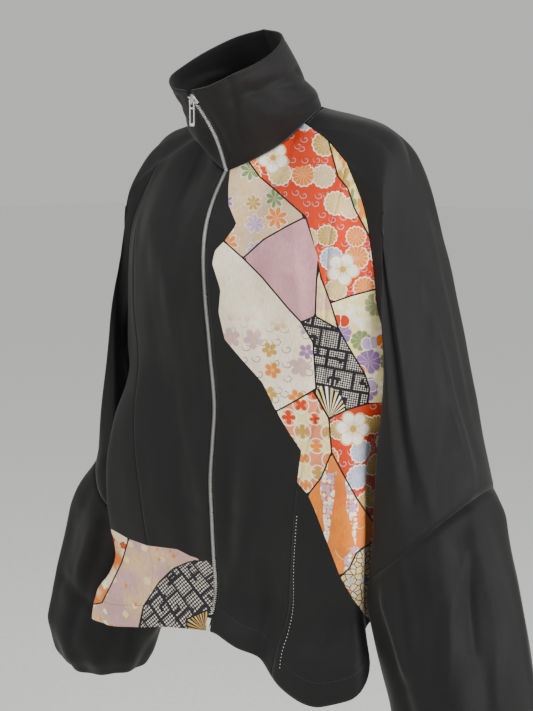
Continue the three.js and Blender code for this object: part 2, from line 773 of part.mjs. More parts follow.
// Tape behind a front edge: it follows the facets of the front panel and the collar, moved in
function tapeStrip(name, panel, collarColumns, side) {
  const rows = [0, 1].map((k) => [
    ...panel.grid[k].map((point, j) => ({ point, normal: panel.normals[k][j] })),
    ...collarColumns[k].points.slice(1).map((point, j) => (
      { point, normal: collarColumns[k].normals[j + 1] }
    )),
  ]);
  const columns = [[], [], []];
  rows[0].forEach(({ point, normal }, j) => {
    const next = rows[1][j];
    const share = (TAPE_HALF - ZIP_EDGE) / (Math.abs(next.point.x) - ZIP_EDGE);
    columns[0].push({
      point: point.clone().setX(side * SEAM_GAP * 0.4),
      normal: normal.clone().setX(0).normalize(),
    });
    columns[1].push({ point, normal });
    columns[2].push({
      point: point.clone().lerp(next.point, share),
      normal: normal.clone().lerp(next.normal, share).normalize(),
    });
  });
  const last = rows[0].length - 1;
  const place = (column, j, depth) => {
    const near = Math.min(Math.max(j, 0), last);
    const from = column[near].point.clone().addScaledVector(column[near].normal, -depth);
    if (near !== 0 && near !== last) return from;
    const other = near === 0 ? 1 : last - 1;
    const to = column[other].point.clone().addScaledVector(column[other].normal, -depth);
    return from.lerp(to, TAPE_END / from.distanceTo(to));
  };
  const depthAt = (j) => wallAt(lengthAt[j]) + TAPE_CLEAR + (j > BODY_ROWS - 2 ? TAPE_CLEAR : 0);
  const layer = (extra) => (
    columns.map((column) => column.map((_, j) => place(column, j, depthAt(j) + extra)))
  );
  addMesh(name, wallMesh(layer(0), layer(TAPE_THICK), false), TAPE);
}

const collarEdge = (i) => ({ points: collarGrid.grid[i], normals: collarGrid.normals[i] });
const collarLast = collarGrid.grid.length - 1;
tapeStrip("zip_tape_left", frontGrid, [collarEdge(0), collarEdge(1)], 1);
tapeStrip("zip_tape_right", cloth.find((piece) => piece.name === "front_right_centre"),
  [collarEdge(collarLast), collarEdge(collarLast - 1)], -1);
const sliderStart = zipLength - TAPE_END - SLIDER_LENGTH;
const chainStart = TAPE_END + BOX_LENGTH + SEAM_GAP;
zipStrip("zip_chain", chainStart, sliderStart - SEAM_GAP, -CHAIN_HALF, CHAIN_HALF,
  () => CHAIN_OUT, () => -CHAIN_IN, SILVER);
zipStrip("zip_box", TAPE_END, TAPE_END + BOX_LENGTH, -CHAIN_HALF, CHAIN_HALF,
  () => BOX_OUT, () => -CHAIN_IN, SILVER);

// Slider: its base fills the gap between the front edges, its cap stands over them and carries the bail
const low = zipAt(sliderStart);
const high = zipAt(zipLength - TAPE_END);
const along = high.point.clone().sub(low.point).normalize();
const facing = new THREE.Vector3(1, 0, 0).cross(along).normalize();
if (facing.y > 0) facing.negate();
function sliderShape() {
  const base = [
    [-SLIDER_BASE_HALF, -CHAIN_IN],
    [SLIDER_BASE_HALF, -CHAIN_IN],
    [SLIDER_BASE_HALF, 0.5],
    [SLIDER_CAP_HALF, 0.5],
    [SLIDER_CAP_HALF - 0.6, SLIDER_CAP_OUT],
    [-SLIDER_CAP_HALF + 0.6, SLIDER_CAP_OUT],
    [-SLIDER_CAP_HALF, 0.5],
    [-SLIDER_BASE_HALF, 0.5],
  ];
  return new THREE.Shape(base.map(([x, out]) => new THREE.Vector2(x, out)));
}

// Upright plate with a rectangular hole below its bar, seen from the side of the slider
function bailShape() {
  const half = BAIL_LENGTH / 2;
  const root = SLIDER_CAP_OUT + SEAM_GAP;
  const shape = new THREE.Shape([
    [-half, root],
    [half, root],
    [half, root + BAIL_ROOM + 0.4],
    [half - 1, root + BAIL_ROOM + BAIL_THICK + 0.8],
    [-half + 1, root + BAIL_ROOM + BAIL_THICK + 0.8],
    [-half, root + BAIL_ROOM + 0.4],
  ].map(([x, y]) => new THREE.Vector2(x, y)));
  const inside = half - BAIL_THICK;
  shape.holes.push(new THREE.Path([
    [-inside, root + 0.8],
    [-inside, root + 0.8 + BAIL_ROOM],
    [inside, root + 0.8 + BAIL_ROOM],
    [inside, root + 0.8],
  ].map(([x, y]) => new THREE.Vector2(x, y))));
  return shape;
}

const sliderBody = new THREE.ExtrudeGeometry(sliderShape(), { depth: SLIDER_LENGTH, bevelEnabled: false });
sliderBody.translate(0, 0, -SLIDER_LENGTH / 2);
sliderBody.applyMatrix4(new THREE.Matrix4().makeBasis(
  new THREE.Vector3(1, 0, 0),
  facing,
  new THREE.Vector3(1, 0, 0).cross(facing),
).setPosition(low.point.clone().lerp(high.point, 0.5)));
addMesh("zip_slider", sliderBody, SILVER);

const bail = new THREE.ExtrudeGeometry(bailShape(), { depth: BAIL_HALF * 2, bevelEnabled: false });
bail.translate(0, 0, -BAIL_HALF);
bail.applyMatrix4(new THREE.Matrix4().makeBasis(
  along,
  facing,
  along.clone().cross(facing),
).setPosition(low.point.clone().lerp(high.point, 0.5)));
addMesh("zip_bail", bail, SILVER);

// Pull tab: a plate with two windows that hangs plumb, its top rail passing under the bail
const pivot = low.point.clone().lerp(high.point, 0.5)
  .addScaledVector(facing, SLIDER_CAP_OUT + SEAM_GAP + 0.8 + BAIL_ROOM / 2)
  .addScaledVector(along, -BAIL_LENGTH / 2 + BAIL_THICK + 1.1);
const tabShape = new THREE.Shape([
  [-TAB_HALF, TAB_THICK / 2], [TAB_HALF, TAB_THICK / 2], [TAB_HALF - 0.4, -TAB_LENGTH + 1.4],
  [TAB_HALF - 1.4, -TAB_LENGTH], [-TAB_HALF + 1.4, -TAB_LENGTH], [-TAB_HALF + 0.4, -TAB_LENGTH + 1.4],
].map(([x, y]) => new THREE.Vector2(x, y)));
const window = (top, bottom) => new THREE.Path([
  [-TAB_HALF + TAB_RAIL, top],
  [-TAB_HALF + TAB_RAIL, bottom],
  [TAB_HALF - TAB_RAIL, bottom],
  [TAB_HALF - TAB_RAIL, top],
].map(([x, y]) => new THREE.Vector2(x, y)));
tabShape.holes.push(window(-TAB_THICK / 2, -TAB_THICK / 2 - TAB_TOP_WINDOW));
tabShape.holes.push(window(-TAB_TOP_WINDOW - 2.6, -TAB_LENGTH + 3.4));
const tab = new THREE.ExtrudeGeometry(tabShape, { depth: TAB_THICK, bevelEnabled: false });
tab.translate(0, 0, -TAB_THICK / 2);
tab.rotateX(Math.PI / 2);
tab.translate(pivot.x, pivot.y, pivot.z);
addMesh("zip_pull_tab", tab, SILVER);

export default group;
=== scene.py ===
"""Kimono jacket: zip-front jacket of black crepe with a patchwork print, in its worn form."""

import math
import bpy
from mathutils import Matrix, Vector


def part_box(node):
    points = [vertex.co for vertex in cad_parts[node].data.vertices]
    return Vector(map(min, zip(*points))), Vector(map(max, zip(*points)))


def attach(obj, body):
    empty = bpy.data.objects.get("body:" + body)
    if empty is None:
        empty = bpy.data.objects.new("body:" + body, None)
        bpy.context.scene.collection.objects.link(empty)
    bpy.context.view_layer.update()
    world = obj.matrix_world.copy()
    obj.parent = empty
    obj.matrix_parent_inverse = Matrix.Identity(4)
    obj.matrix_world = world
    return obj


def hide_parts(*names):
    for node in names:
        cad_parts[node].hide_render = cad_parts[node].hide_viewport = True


bl_info = {
    "name": "Kimono Jacket",
    "version": (1, 0, 0),
    "blender": (4, 5, 0),
    "location": "View3D > Sidebar > Jacket",
    "description": "Builds a zip-front jacket with raglan sleeves and a patchwork print",
    "category": "Object",
}

import bmesh
import bpy
import numpy as np
from bpy.props import FloatProperty, FloatVectorProperty, IntProperty, PointerProperty
from bpy.types import Operator, Panel, PropertyGroup
from mathutils import Euler, Matrix, Vector

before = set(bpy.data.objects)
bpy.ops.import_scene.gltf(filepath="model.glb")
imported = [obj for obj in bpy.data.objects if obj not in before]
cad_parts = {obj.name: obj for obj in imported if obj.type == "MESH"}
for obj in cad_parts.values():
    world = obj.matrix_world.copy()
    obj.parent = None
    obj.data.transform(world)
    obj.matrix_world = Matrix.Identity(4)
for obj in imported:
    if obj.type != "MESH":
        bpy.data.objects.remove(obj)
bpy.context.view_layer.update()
MM = 0.001

# Surface lines below are in millimetres: +X is the wearer's left, -Y the front


def track(rows):
    """Smooth curve through rows, read by their first column."""
    rows = np.array(sorted(rows), float)
    keys = rows[:, 0]
    last = len(rows) - 1
    before = np.maximum(np.arange(last + 1) - 1, 0)
    after = np.minimum(np.arange(last + 1) + 1, last)
    slopes = (rows[after] - rows[before]) / (keys[after] - keys[before])[:, None]

    def read(at):
        t = np.clip(np.asarray(at, float), keys[0], keys[-1])
        i = np.clip(np.searchsorted(keys, t) - 1, 0, last - 1)
        span = (keys[i + 1] - keys[i])[..., None]
        s = (t - keys[i])[..., None] / span
        rising = slopes[i] * span * s * (1 - s) ** 2 - slopes[i + 1] * span * s * s * (1 - s)
        return rows[i] * (1 + 2 * s) * (1 - s) ** 2 + rows[i + 1] * s * s * (3 - 2 * s) + rising

    return read


def ease(t):
    s = np.clip(t, 0, 1)
    return s * s * (3 - 2 * s)


def mix(a, b, t):
    return a + (b - a) * t


def unit(vectors):
    return vectors / np.maximum(np.linalg.norm(vectors, axis=-1, keepdims=True), 1e-9)


# Body sections by height: half width, back, squareness of the front, and draw-in beside the arm
SECTIONS = track([
    (10, 66, 40, 2, 0), (-18, 80, 52, 2, 0), (-64, 181, 66, 2, 0), (-116, 203, 78, 2, 0),
    (-174, 218, 86, 2, 0), (-259, 226, 90, 2, 0), (-300, 230, 90, 2, 1), (-334, 230, 90, 2.4, 14),
    (-400, 234, 91, 4, 46), (-452, 240, 93, 4.5, 60), (-538, 251, 97, 4.5, 74),
    (-636, 262, 102, 4.5, 80), (-710, 266, 104, 4.5, 82),
])
BODY_CENTRE = -10
BACK_SQUARE = 2.5
RECESS_FRONT = (66, 84)
RECESS_BACK = (100, 122)
FRONT_LINE = track([
    (10, -40), (-18, -52), (-50, -66), (-73, -76), (-106, -97), (-136, -109), (-179, -114),
    (-227, -112), (-275, -105), (-348, -97), (-396, -101), (-444, -105), (-492, -103),
    (-540, -99), (-577, -96), (-603, -101), (-629, -112), (-710, -122),
])
HEM_LEFT = track([
    (0, -629), (10, -630), (25, -638), (40, -643), (51, -667), (60, -676), (66, -664), (72, -640),
    (78, -614), (90, -596), (120, -608), (150, -624), (180, -630),
])
HEM_RIGHT = track([
    (0, -629), (34, -640), (52, -654), (64, -666), (73, -664), (80, -636), (90, -604),
    (120, -612), (150, -624), (180, -630),
])
PRINCESS = track([
    (-18, 140), (-64, 155), (-150, 160), (-255, 158), (-330, 151), (-450, 134), (-570, 118), (-670, 108),
])
ZIP_EDGE = 4
PRINCESS_TOP = 155

# Seams of the wearer's left half
NECK_FRONT = [(ZIP_EDGE, -75.6, -72.6), (30, -66, -62), (55, -44, -44), (72, -17, -18)]
NECK_SIDE = [(72, -17, -18), (75, 0, -5), (70, 16, 0), (60, 28, 3)]
NECK_BACK = [(60, 28, 3), (34, 37, 5), (0, 40, 6)]
RAGLAN_YOKE = [(72, -17, -18), (115, -27, -38), (155, -40, -64)]
RAGLAN_FRONT = [(155, -40, -64), (186, -46, -116), (200, -48, -174), (208, -44, -235), (229, -10, -300)]
RAGLAN_BACK = [
    (229, -10, -300), (212, 38, -240), (203, 56, -175), (184, 58, -112), (150, 50, -58),
    (108, 38, -20), (60, 28, 3),
]
COLLAR_TOP = [
    (ZIP_EDGE, -137, 17), (28, -135, 21), (52, -119, 34), (64, -86, 50), (59, -48, 70),
    (38, -20, 87), (0, -10, 95),
]

# Points to each seam and rows to each piece
NECK_FRONT_STEPS = 24
YOKE_STEPS = 30
ARMHOLE_STEPS = 44
BACK_SEAM_STEPS = 84
NECK_BACK_STEPS = 20
NECK_SIDE_STEPS = 16
BODY_ROWS = 150
SLEEVE_ROWS = 92
COLLAR_ROWS = 44

# Broad folds of the body: both ends across and up, width and height
BODY_FOLDS = [
    (-206, -350, -212, -560, 16, 4), (-88, -364, -48, -520, 22, -5), (-130, -250, -150, -420, 24, 3),
    (-225, -600, -228, -680, 9, 4), (-198, -600, -200, -690, 9, -4), (28, -400, 30, -520, 13, -3),
    (66, -380, 26, -600, 17, 3.5), (96, -560, 92, -700, 15, -8), (150, -520, 152, -700, 30, 9),
    (205, -400, 214, -640, 18, 4), (120, -130, 60, -240, 24, 3), (-110, -120, -52, -240, 26, 3),
]
BACK_FOLDS = [
    (60, -200, 86, -560, 26, 5), (-70, -240, -98, -600, 28, 6), (140, -300, 152, -620, 22, -5),
    (-140, -260, -160, -620, 22, -5), (10, -320, -20, -640, 24, -4), (110, -120, 178, -250, 20, 4),
    (-106, -120, -178, -250, 20, 4),
]
# Sharper creases of the back, which the photograph hides
BACK_CREASES = [
    (40, -300, 66, -560, 9, -2.5), (-52, -330, -80, -590, 9, -3), (118, -180, 160, -300, 9, -2.5),
    (-116, -170, -166, -310, 9, -2.5), (8, -420, 30, -600, 8, 2.5), (-120, -360, -128, -600, 9, 2.5),
    (126, -400, 118, -590, 9, 2.5), (0, -60, 4, -200, 16, -1.5),
]
HEM_GATHERS = 5
GATHER_DEPTH = 5
GATHER_HEIGHT = 60
GATHER_START = 104


def edge_of(angle, z):
    """Distance of the body's surface from its axis, before folds."""
    half, back, square_front, recess = np.moveaxis(SECTIONS(z)[..., 1:], -1, 0)
    front = FRONT_LINE(z)[..., 1]
    s = np.abs(np.sin(angle))
    c = np.cos(angle)
    square = np.where(c > 0, square_front, BACK_SQUARE)
    reach = np.where(c > 0, BODY_CENTRE - front, back - BODY_CENTRE)
    degrees = np.degrees(np.abs(angle))
    drawn = ease((degrees - RECESS_FRONT[0]) / (RECESS_FRONT[1] - RECESS_FRONT[0]))
    drawn = drawn * ease((RECESS_BACK[1] - degrees) / (RECESS_BACK[1] - RECESS_BACK[0]))
    return ((s / half) ** square + (np.abs(c) / reach) ** square) ** (-1 / square) - recess * drawn


def fold_lift(folds, x, z):
    """Height of broad folds at a place, falling off across each fold and towards its ends."""
    lift = np.zeros(np.broadcast(x, z).shape)
    for x0, z0, x1, z1, wide, high in folds:
        dx = x1 - x0
        dz = z1 - z0
        along = ((x - x0) * dx + (z - z0) * dz) / (dx * dx + dz * dz)
        t = np.clip(along, 0, 1)
        off = np.hypot(x - x0 - dx * along, z - z0 - dz * along)
        over = np.abs(along - t) * math.hypot(dx, dz)
        ends = ease(0.25 + 1.5 * np.minimum(t + 0.3, 1.3 - t))
        lift += high * ends * np.exp(-((off / wide) ** 2) - (over / 40) ** 2)
    return lift


def body_point(angle, z):
    """Point of the body's outer surface; the angle turns from the front to the wearer's left."""
    angle, z = np.broadcast_arrays(angle, z)
    reach = edge_of(angle, z)
    x = reach * np.sin(angle)
    facing = np.cos(angle)
    folds = np.where(facing > 0, fold_lift(BODY_FOLDS, x, z), fold_lift(BACK_FOLDS + BACK_CREASES, x, z))
    reach = reach + folds * ease((np.abs(facing) - 0.05) * 4)
    degrees = np.degrees(np.abs(angle))
    turn = np.maximum(degrees - GATHER_START, 0) / (180 - GATHER_START)
    low = ease(1 - (z - HEM_LEFT(degrees)[..., 1]) / GATHER_HEIGHT)
    reach = reach + GATHER_DEPTH * low * np.sin(turn * HEM_GATHERS * 2 * np.pi) * ease(turn * 6)
    return np.stack([reach * np.sin(angle), BODY_CENTRE - reach * facing, z], -1)


def angle_at(x, z):
    """Angle round the front at which the body lies at a given distance from its centre line."""
    x, z = np.broadcast_arrays(x, z)
    low = np.zeros(x.shape)
    high = np.full(x.shape, math.radians(89))
    for _ in range(26):
        middle = (low + high) / 2
        inside = edge_of(middle, z) * np.sin(middle) < x
        low = np.where(inside, middle, low)
        high = np.where(inside, high, middle)
    return low


def seam(points, steps):
    """Evenly spaced points along a smooth curve through a seam's points."""
    points = np.array(points, float)
    ends = [2 * points[0] - points[1], *points, 2 * points[-1] - points[-2]]
    fine = []
    s = np.linspace(0, 1, 60)[:, None]
    for a, b, c, d in zip(ends, ends[1:], ends[2:], ends[3:]):
        k0, k1, k2 = (math.dist(p, q) ** 0.5 for p, q in ((a, b), (b, c), (c, d)))
        m = ((b - a) / k0 - (c - a) / (k0 + k1) + (c - b) / k1) * k1
        n = ((c - b) / k1 - (d - b) / (k1 + k2) + (d - c) / k2) * k1
        fine.append(b + m * s + (3 * (c - b) - 2 * m - n) * s ** 2 + (2 * (b - c) + m + n) * s ** 3)
    fine = np.concatenate(fine)
    run = np.concatenate([[0], np.cumsum(np.linalg.norm(np.diff(fine, axis=0), axis=1))])
    stops = np.linspace(0, run[-1], steps + 1)
    return np.stack([np.interp(stops, run, fine[:, k]) for k in range(3)], -1)


neck_front = seam(NECK_FRONT, NECK_FRONT_STEPS)
neck_side = seam(NECK_SIDE, NECK_SIDE_STEPS)
neck_back = seam(NECK_BACK, NECK_BACK_STEPS)
raglan_yoke = seam(RAGLAN_YOKE, YOKE_STEPS)
raglan_front = seam(RAGLAN_FRONT, ARMHOLE_STEPS)
raglan_back = seam(RAGLAN_BACK, BACK_SEAM_STEPS)
TOP_BLEND = 0.3
TURN_FROM = -560
HEM_SAMPLE = -640


def body_panel(side, tops, angle_of, hem_angle):
    """Panel of the body from its hem up to the points of its top seam."""
    t = np.linspace(0, 1, BODY_ROWS + 1)[None, :]
    top_z = tops[:, 2:3]
    hem = (HEM_LEFT if side > 0 else HEM_RIGHT)(np.degrees(hem_angle))[..., 1]
    z = mix(hem, top_z, t)
    shift = tops[:, None, :] * (side, 1, 1) - body_point(side * angle_of(top_z), top_z)
    return body_point(side * angle_of(z), z) + shift * ease((t - 1 + TOP_BLEND) / TOP_BLEND)[..., None]


def front_centre(side):
    tops = np.concatenate([neck_front, raglan_yoke[1:]])
    share = ((tops[:, 0] - ZIP_EDGE) / (PRINCESS_TOP - ZIP_EDGE))[:, None]

    def angle_of(z):
        return angle_at(mix(ZIP_EDGE, PRINCESS(z)[..., 1], share), z)

    return body_panel(side, tops, angle_of, angle_of(HEM_SAMPLE))


def front_side(side):
    share = np.linspace(0, 1, ARMHOLE_STEPS + 1)[:, None]
    top_angle = np.arctan2(raglan_front[:, 0], BODY_CENTRE - raglan_front[:, 1])[:, None]
    top_z = raglan_front[:, 2:3]

    def low(z):
        return mix(angle_at(PRINCESS(z)[..., 1], z), np.pi / 2, share)

    def angle_of(z):
        turn = (top_angle - low(top_z)) * ease((z - TURN_FROM) / (top_z - TURN_FROM))
        return low(z) + np.where(share > 0, turn, 0)

    return body_panel(side, raglan_front, angle_of, low(np.array(HEM_SAMPLE)))


def back_half(side):
    tops = np.concatenate([raglan_back, neck_back[1:]])
    share = np.linspace(0, 1, len(tops))[:, None]
    top_angle = np.arctan2(np.abs(tops[:, 0]), BODY_CENTRE - tops[:, 1])[:, None]
    low = mix(np.pi / 2, np.pi, share)

    def angle_of(z):
        return low + (top_angle - low) * ease((z - TURN_FROM) / (tops[:, 2:3] - TURN_FROM))

    return body_panel(side, tops, angle_of, low)


# Upper sleeve by its length: top, under, front and back point of each ring
UPPER = track([
    (0, 76, 0, -3, 229, -10, -300, 186, -46, -116, 184, 58, -112),
    (0.22, 187, 2, -33, 236, -7, -328, 210, -50, -168, 206, 64, -160),
    (0.45, 210, 5, -116, 225, -2, -368, 220.4, -57, -238, 222, 72, -228),
    (0.65, 236, 8, -214, 210, 2, -414, 228, -62, -320, 234, 78, -306),
    (0.83, 264, 11, -322, 200, 0, -464, 234, -67, -406, 244, 82, -388),
    (1, 300, 14, -437, 194, -6, -528, 242, -72, -508, 256, 84, -462),
])
UPPER_BLEND = 0.42
# Lower sleeve by its length: centre, half width, half depth and rise of the outer side
LOWER = track([
    (0, 243, 4, -482, 60, 78.5, 45), (0.09, 253, 6, -514, 71, 85, 42), (0.22, 267, 7, -562, 77, 87, 34),
    (0.36, 283, 5, -616, 80, 86, 24), (0.5, 298, 0, -664, 82, 83, 14), (0.64, 308, -6, -710, 81, 79, 7),
    (0.76, 307, -10, -746, 70, 70, 2), (0.83, 304, -11, -762, 60, 60, 0), (0.88, 302, -12, -771, 52, 52, 0),
    (0.92, 301, -12, -769, 46, 46, 0), (0.96, 301, -12, -757, 42.6, 42.6, 0),
    (1, 301, -12, -742, 40.7, 40.7, 0),
])
# Folds of the sleeves: degrees round and place along at both ends, width and height
UPPER_FOLDS = [
    (52, 0.2, 44, 1, 13, 6), (84, 0.35, 66, 1, 12, 4), (66, 0.3, 56, 0.9, 10, -4), (120, 0.5, 112, 1, 14, 4),
    (300, 0.3, 318, 1, 15, 6), (268, 0.4, 280, 1, 13, -4), (12, 0.5, 8, 1, 16, -4),
]
UPPER_CREASES = [
    (285, 0.35, 300, 0.95, 6, 2.5), (330, 0.2, 336, 0.8, 7, 2), (240, 0.4, 256, 0.98, 6, -2.5),
    (222, 0.25, 230, 0.8, 7, 2.5), (150, 0.3, 146, 0.9, 6, 2), (196, 0.2, 186, 0.7, 7, -2.5),
]
LOWER_FOLDS = [
    (44, 0, 58, 0.6, 13, 6), (30, 0.05, 34, 0.5, 11, -4), (100, 0.02, 92, 0.3, 9, 5),
    (108, 0.1, 96, 0.7, 12, -5), (200, 0, 190, 0.6, 14, 5), (262, 0, 270, 0.7, 14, 6),
    (320, 0, 312, 0.6, 14, -5),
]
LOWER_CREASES = [
    (280, 0.05, 288, 0.6, 6, -2.5), (240, 0.05, 232, 0.6, 7, 2.5), (340, 0.08, 346, 0.62, 7, 2.5),
    (150, 0.05, 156, 0.6, 7, -2.5), (222, 0.1, 214, 0.5, 6, -2),
]
ELBOW_GATHERS = 9
ELBOW_DEPTH = 2.6
CUFF_GATHERS = 9
CUFF_DEPTH = 3

half_neck = NECK_SIDE_STEPS // 2
raglan_loop = np.concatenate([
    neck_side[half_neck::-1], raglan_yoke[1:], raglan_front[1:], raglan_back[1:],
    neck_side[-2:half_neck:-1],
])
ARMPIT = half_neck + YOKE_STEPS + ARMHOLE_STEPS


def loop_angles():
    """Place of each raglan seam point round the sleeve's ring: 0 on top, half a turn at the armpit."""
    steps = np.linalg.norm(np.roll(raglan_loop, -1, 0) - raglan_loop, axis=1)
    run = np.concatenate([[0], np.cumsum(steps)])
    front = np.pi * run / run[ARMPIT]
    back = np.pi + np.pi * (run - run[ARMPIT]) / (run[-1] - run[ARMPIT])
    return np.where(np.arange(len(run)) <= ARMPIT, front, back)[:-1]


ring_angles = loop_angles()[:, None]


def upper_ring(angle, v):
    r = UPPER(v)
    top, under, front, back = (r[..., k:k + 3] for k in (1, 4, 7, 10))
    across = (top + under) / 2
    deep = (front + back) / 2
    c = np.cos(angle)[..., None]
    s = np.sin(angle)[..., None]
    return across + (top - under) / 2 * c + (front - back) / 2 * s + (deep - across) * s ** 2


def lower_ring(angle, w):
    _, cx, cy, cz, rx, ry, rise = np.moveaxis(LOWER(w), -1, 0)
    c = np.cos(angle)
    s = np.sin(angle)
    return np.stack([cx + rx * c, cy - ry * s, cz + rise * (c - 0.5 * s)], -1)


def tube_lift(folds, angle, v, reach, span):
    lift = np.zeros(np.broadcast(angle, v).shape)
    for a0, v0, a1, v1, wide, high in folds:
        along = (v - v0) / (v1 - v0)
        t = np.clip(along, 0, 1)
        turn = np.degrees(angle) - mix(a0, a1, t)
        turn = turn - 360 * np.round(turn / 360)
        off = np.radians(turn) * reach
        over = np.abs(along - t) * abs(v1 - v0) * span
        lift += high * np.exp(-((off / wide) ** 2) - (over / 30) ** 2) * ease(0.3 + 2 * t)
    return lift


def upper_sleeve():
    v = np.linspace(0, 1, SLEEVE_ROWS + 1)[None, :]
    ring = upper_ring(ring_angles, v)
    shift = raglan_loop[:, None, :] - upper_ring(ring_angles, np.zeros((1, 1)))
    middle = np.stack([mix(180, 243, v) + 0 * ring[..., 2], 4 + 0 * ring[..., 2], ring[..., 2]], -1)
    fade = ease(v * 4) * ease((1 - v) * 5)
    lift = tube_lift(UPPER_FOLDS + UPPER_CREASES, ring_angles, v, 70, 400) * fade
    moved = shift * (1 - ease(v / UPPER_BLEND))[..., None]
    return ring + moved + unit(ring - middle) * lift[..., None]


def lower_sleeve(start):
    w = (np.linspace(0, 1, SLEEVE_ROWS + 1) ** 0.82)[None, :]
    ring = lower_ring(ring_angles, w)
    shift = start[:, None, :] - lower_ring(ring_angles, np.zeros((1, 1)))
    c = np.cos(ring_angles)
    s = np.sin(ring_angles)
    out = np.stack([c, -s, 0 * c], -1)
    gather = ELBOW_DEPTH * np.sin(ring_angles * ELBOW_GATHERS) * ease(w * 12) * ease(1 - w * 2.6)
    draw = CUFF_DEPTH * np.sin(ring_angles * CUFF_GATHERS) * ease((w - 0.6) * 5) * ease((0.98 - w) * 7)
    reach = LOWER(w)[..., 4]
    folds = tube_lift(LOWER_FOLDS + LOWER_CREASES, ring_angles, w, reach, 420)
    lift = folds * ease(w * 8) * ease((0.86 - w) * 4) + gather + draw
    return ring + shift * (1 - ease(w / 0.2))[..., None] + out * lift[..., None]


COLLAR_BULGE = track([(0, 0), (0.25, 5), (0.5, 3), (0.75, 2), (1, 0)])
COLLAR_HOLLOW = 10
# Creases of the collar: share round and share up at both ends, width and height
COLLAR_CREASES = [
    (0.22, 0.74, 0.62, 0.6, 0.07, -5), (0.1, 0.9, 0.14, 0.1, 0.03, -3),
    (0.5, 0.35, 0.95, 0.5, 0.08, -4), (0.3, 0.4, 0.55, 0.25, 0.08, 3),
]


def collar_half():
    base = np.concatenate([neck_front, neck_side[1:], neck_back[1:]])
    top = seam(COLLAR_TOP, len(base) - 1)
    s = np.linspace(0, 1, len(base))[:, None]
    t = np.linspace(0, 1, COLLAR_ROWS + 1)[None, :]
    points = mix(base[:, None, :], top[:, None, :], t[..., None])
    z = points[..., 2]
    middle = np.stack([0 * z, mix(-12, -72, t) + 0 * z, z], -1)
    lift = COLLAR_BULGE(t)[..., 1] * ease(s * 8) - COLLAR_HOLLOW * np.sin(np.pi * t) * (1 - ease(s * 7))
    for s0, t0, s1, t1, wide, high in COLLAR_CREASES:
        along = ((s - s0) * (s1 - s0) + (t - t0) * (t1 - t0)) / ((s1 - s0) ** 2 + (t1 - t0) ** 2)
        near = np.clip(along, 0, 1)
        off = np.hypot(s - mix(s0, s1, near), t - mix(t0, t1, near))
        lift = lift + high * np.exp(-((off / wide) ** 2)) * ease(t * 5) * ease(s * 12)
    return points + unit(points - middle) * lift[..., None]


# Where a point lies in the photograph, in its pixels: the view's focal length, place and turn
PHOTO_FOCAL = 1334
PHOTO_MIDDLE = (269, 155)
PHOTO_DISTANCE = 1690
PHOTO_LEVEL = -52
TOWARDS_CAMERA = (0.669, -0.743)
ACROSS_VIEW = (0.743, 0.669)


def photo_place(points):
    x, y, z = np.moveaxis(points, -1, 0)
    far = PHOTO_DISTANCE - TOWARDS_CAMERA[0] * x - TOWARDS_CAMERA[1] * y
    across = ACROSS_VIEW[0] * x + ACROSS_VIEW[1] * y
    px = PHOTO_MIDDLE[0] + PHOTO_FOCAL * across / far
    return px, PHOTO_MIDDLE[1] + PHOTO_FOCAL * (PHOTO_LEVEL - z) / far, far / PHOTO_FOCAL


# Creases seen in the photograph: a line in its pixels, width in pixels and height in millimetres
FRONT_LINES = [
    ([(126, 380), (128, 430), (133, 468), (127, 490), (121, 527)], 6, 2.5),
    ([(112, 470), (133, 470)], 3, -1.5),
    ([(172, 393), (180, 435), (187, 467), (191, 503)], 6, -2),
    ([(160, 380), (168, 430), (172, 480)], 6, 1.5),
    ([(233, 433), (232, 513)], 7, -2),
    ([(255, 420), (247, 513), (233, 578)], 7, 2),
    ([(150, 210), (168, 280), (172, 350)], 9, 1.8),
    ([(252, 250), (262, 330), (280, 400)], 6, -1.2),
    ([(292, 225), (296, 270), (300, 312)], 4, 1.2),
    ([(306, 215), (308, 260), (310, 310)], 4, -1.2),
    ([(328, 575), (329, 610), (326, 645)], 6, 2.5),
    ([(345, 560), (347, 620), (342, 660)], 6, -2.5),
    ([(262, 560), (266, 610), (262, 650)], 7, -2),
    ([(104, 600), (104, 626)], 3, 1.8),
    ([(112, 604), (112, 630)], 3, -1.8),
    ([(120, 600), (119, 632)], 3, 1.5),
]
NEAR_SLEEVE_LINES = [
    ([(399, 210), (411, 252), (421, 281), (436, 334), (450, 395), (467, 462), (477, 520)], 6, 3),
    ([(413, 215), (427, 262), (438, 300), (452, 350), (466, 400), (478, 450)], 7, -2.5),
    ([(397, 285), (400, 334), (411, 436), (427, 487), (440, 540)], 6, 2.5),
    ([(386, 300), (391, 360), (400, 440), (412, 500)], 5, -2),
    ([(476, 532), (453, 625), (452, 690)], 6, 3),
    ([(472, 553), (473, 608), (478, 660)], 5, -3),
    ([(403, 563), (413, 605), (418, 650)], 4, 2),
    ([(402, 587), (408, 640), (412, 693)], 5, -2.5),
    ([(478, 537), (503, 635), (502, 711)], 7, 3),
    ([(430, 560), (434, 610), (432, 680)], 5, 2),
]
FAR_SLEEVE_LINES = [
    ([(102, 457), (80, 503)], 6, 3),
    ([(62, 578), (75, 597), (97, 610)], 6, -3),
    ([(90, 300), (84, 380), (74, 450)], 7, 2),
    ([(104, 330), (98, 400), (90, 440)], 6, -2),
]
COLLAR_LINES = [
    ([(246, 94), (264, 99), (290, 96), (304, 97)], 4, -2.5),
    ([(224, 78), (233, 92), (236, 110), (242, 146)], 4, -2.5),
    ([(262, 116), (284, 122), (306, 118)], 5, 2),
]


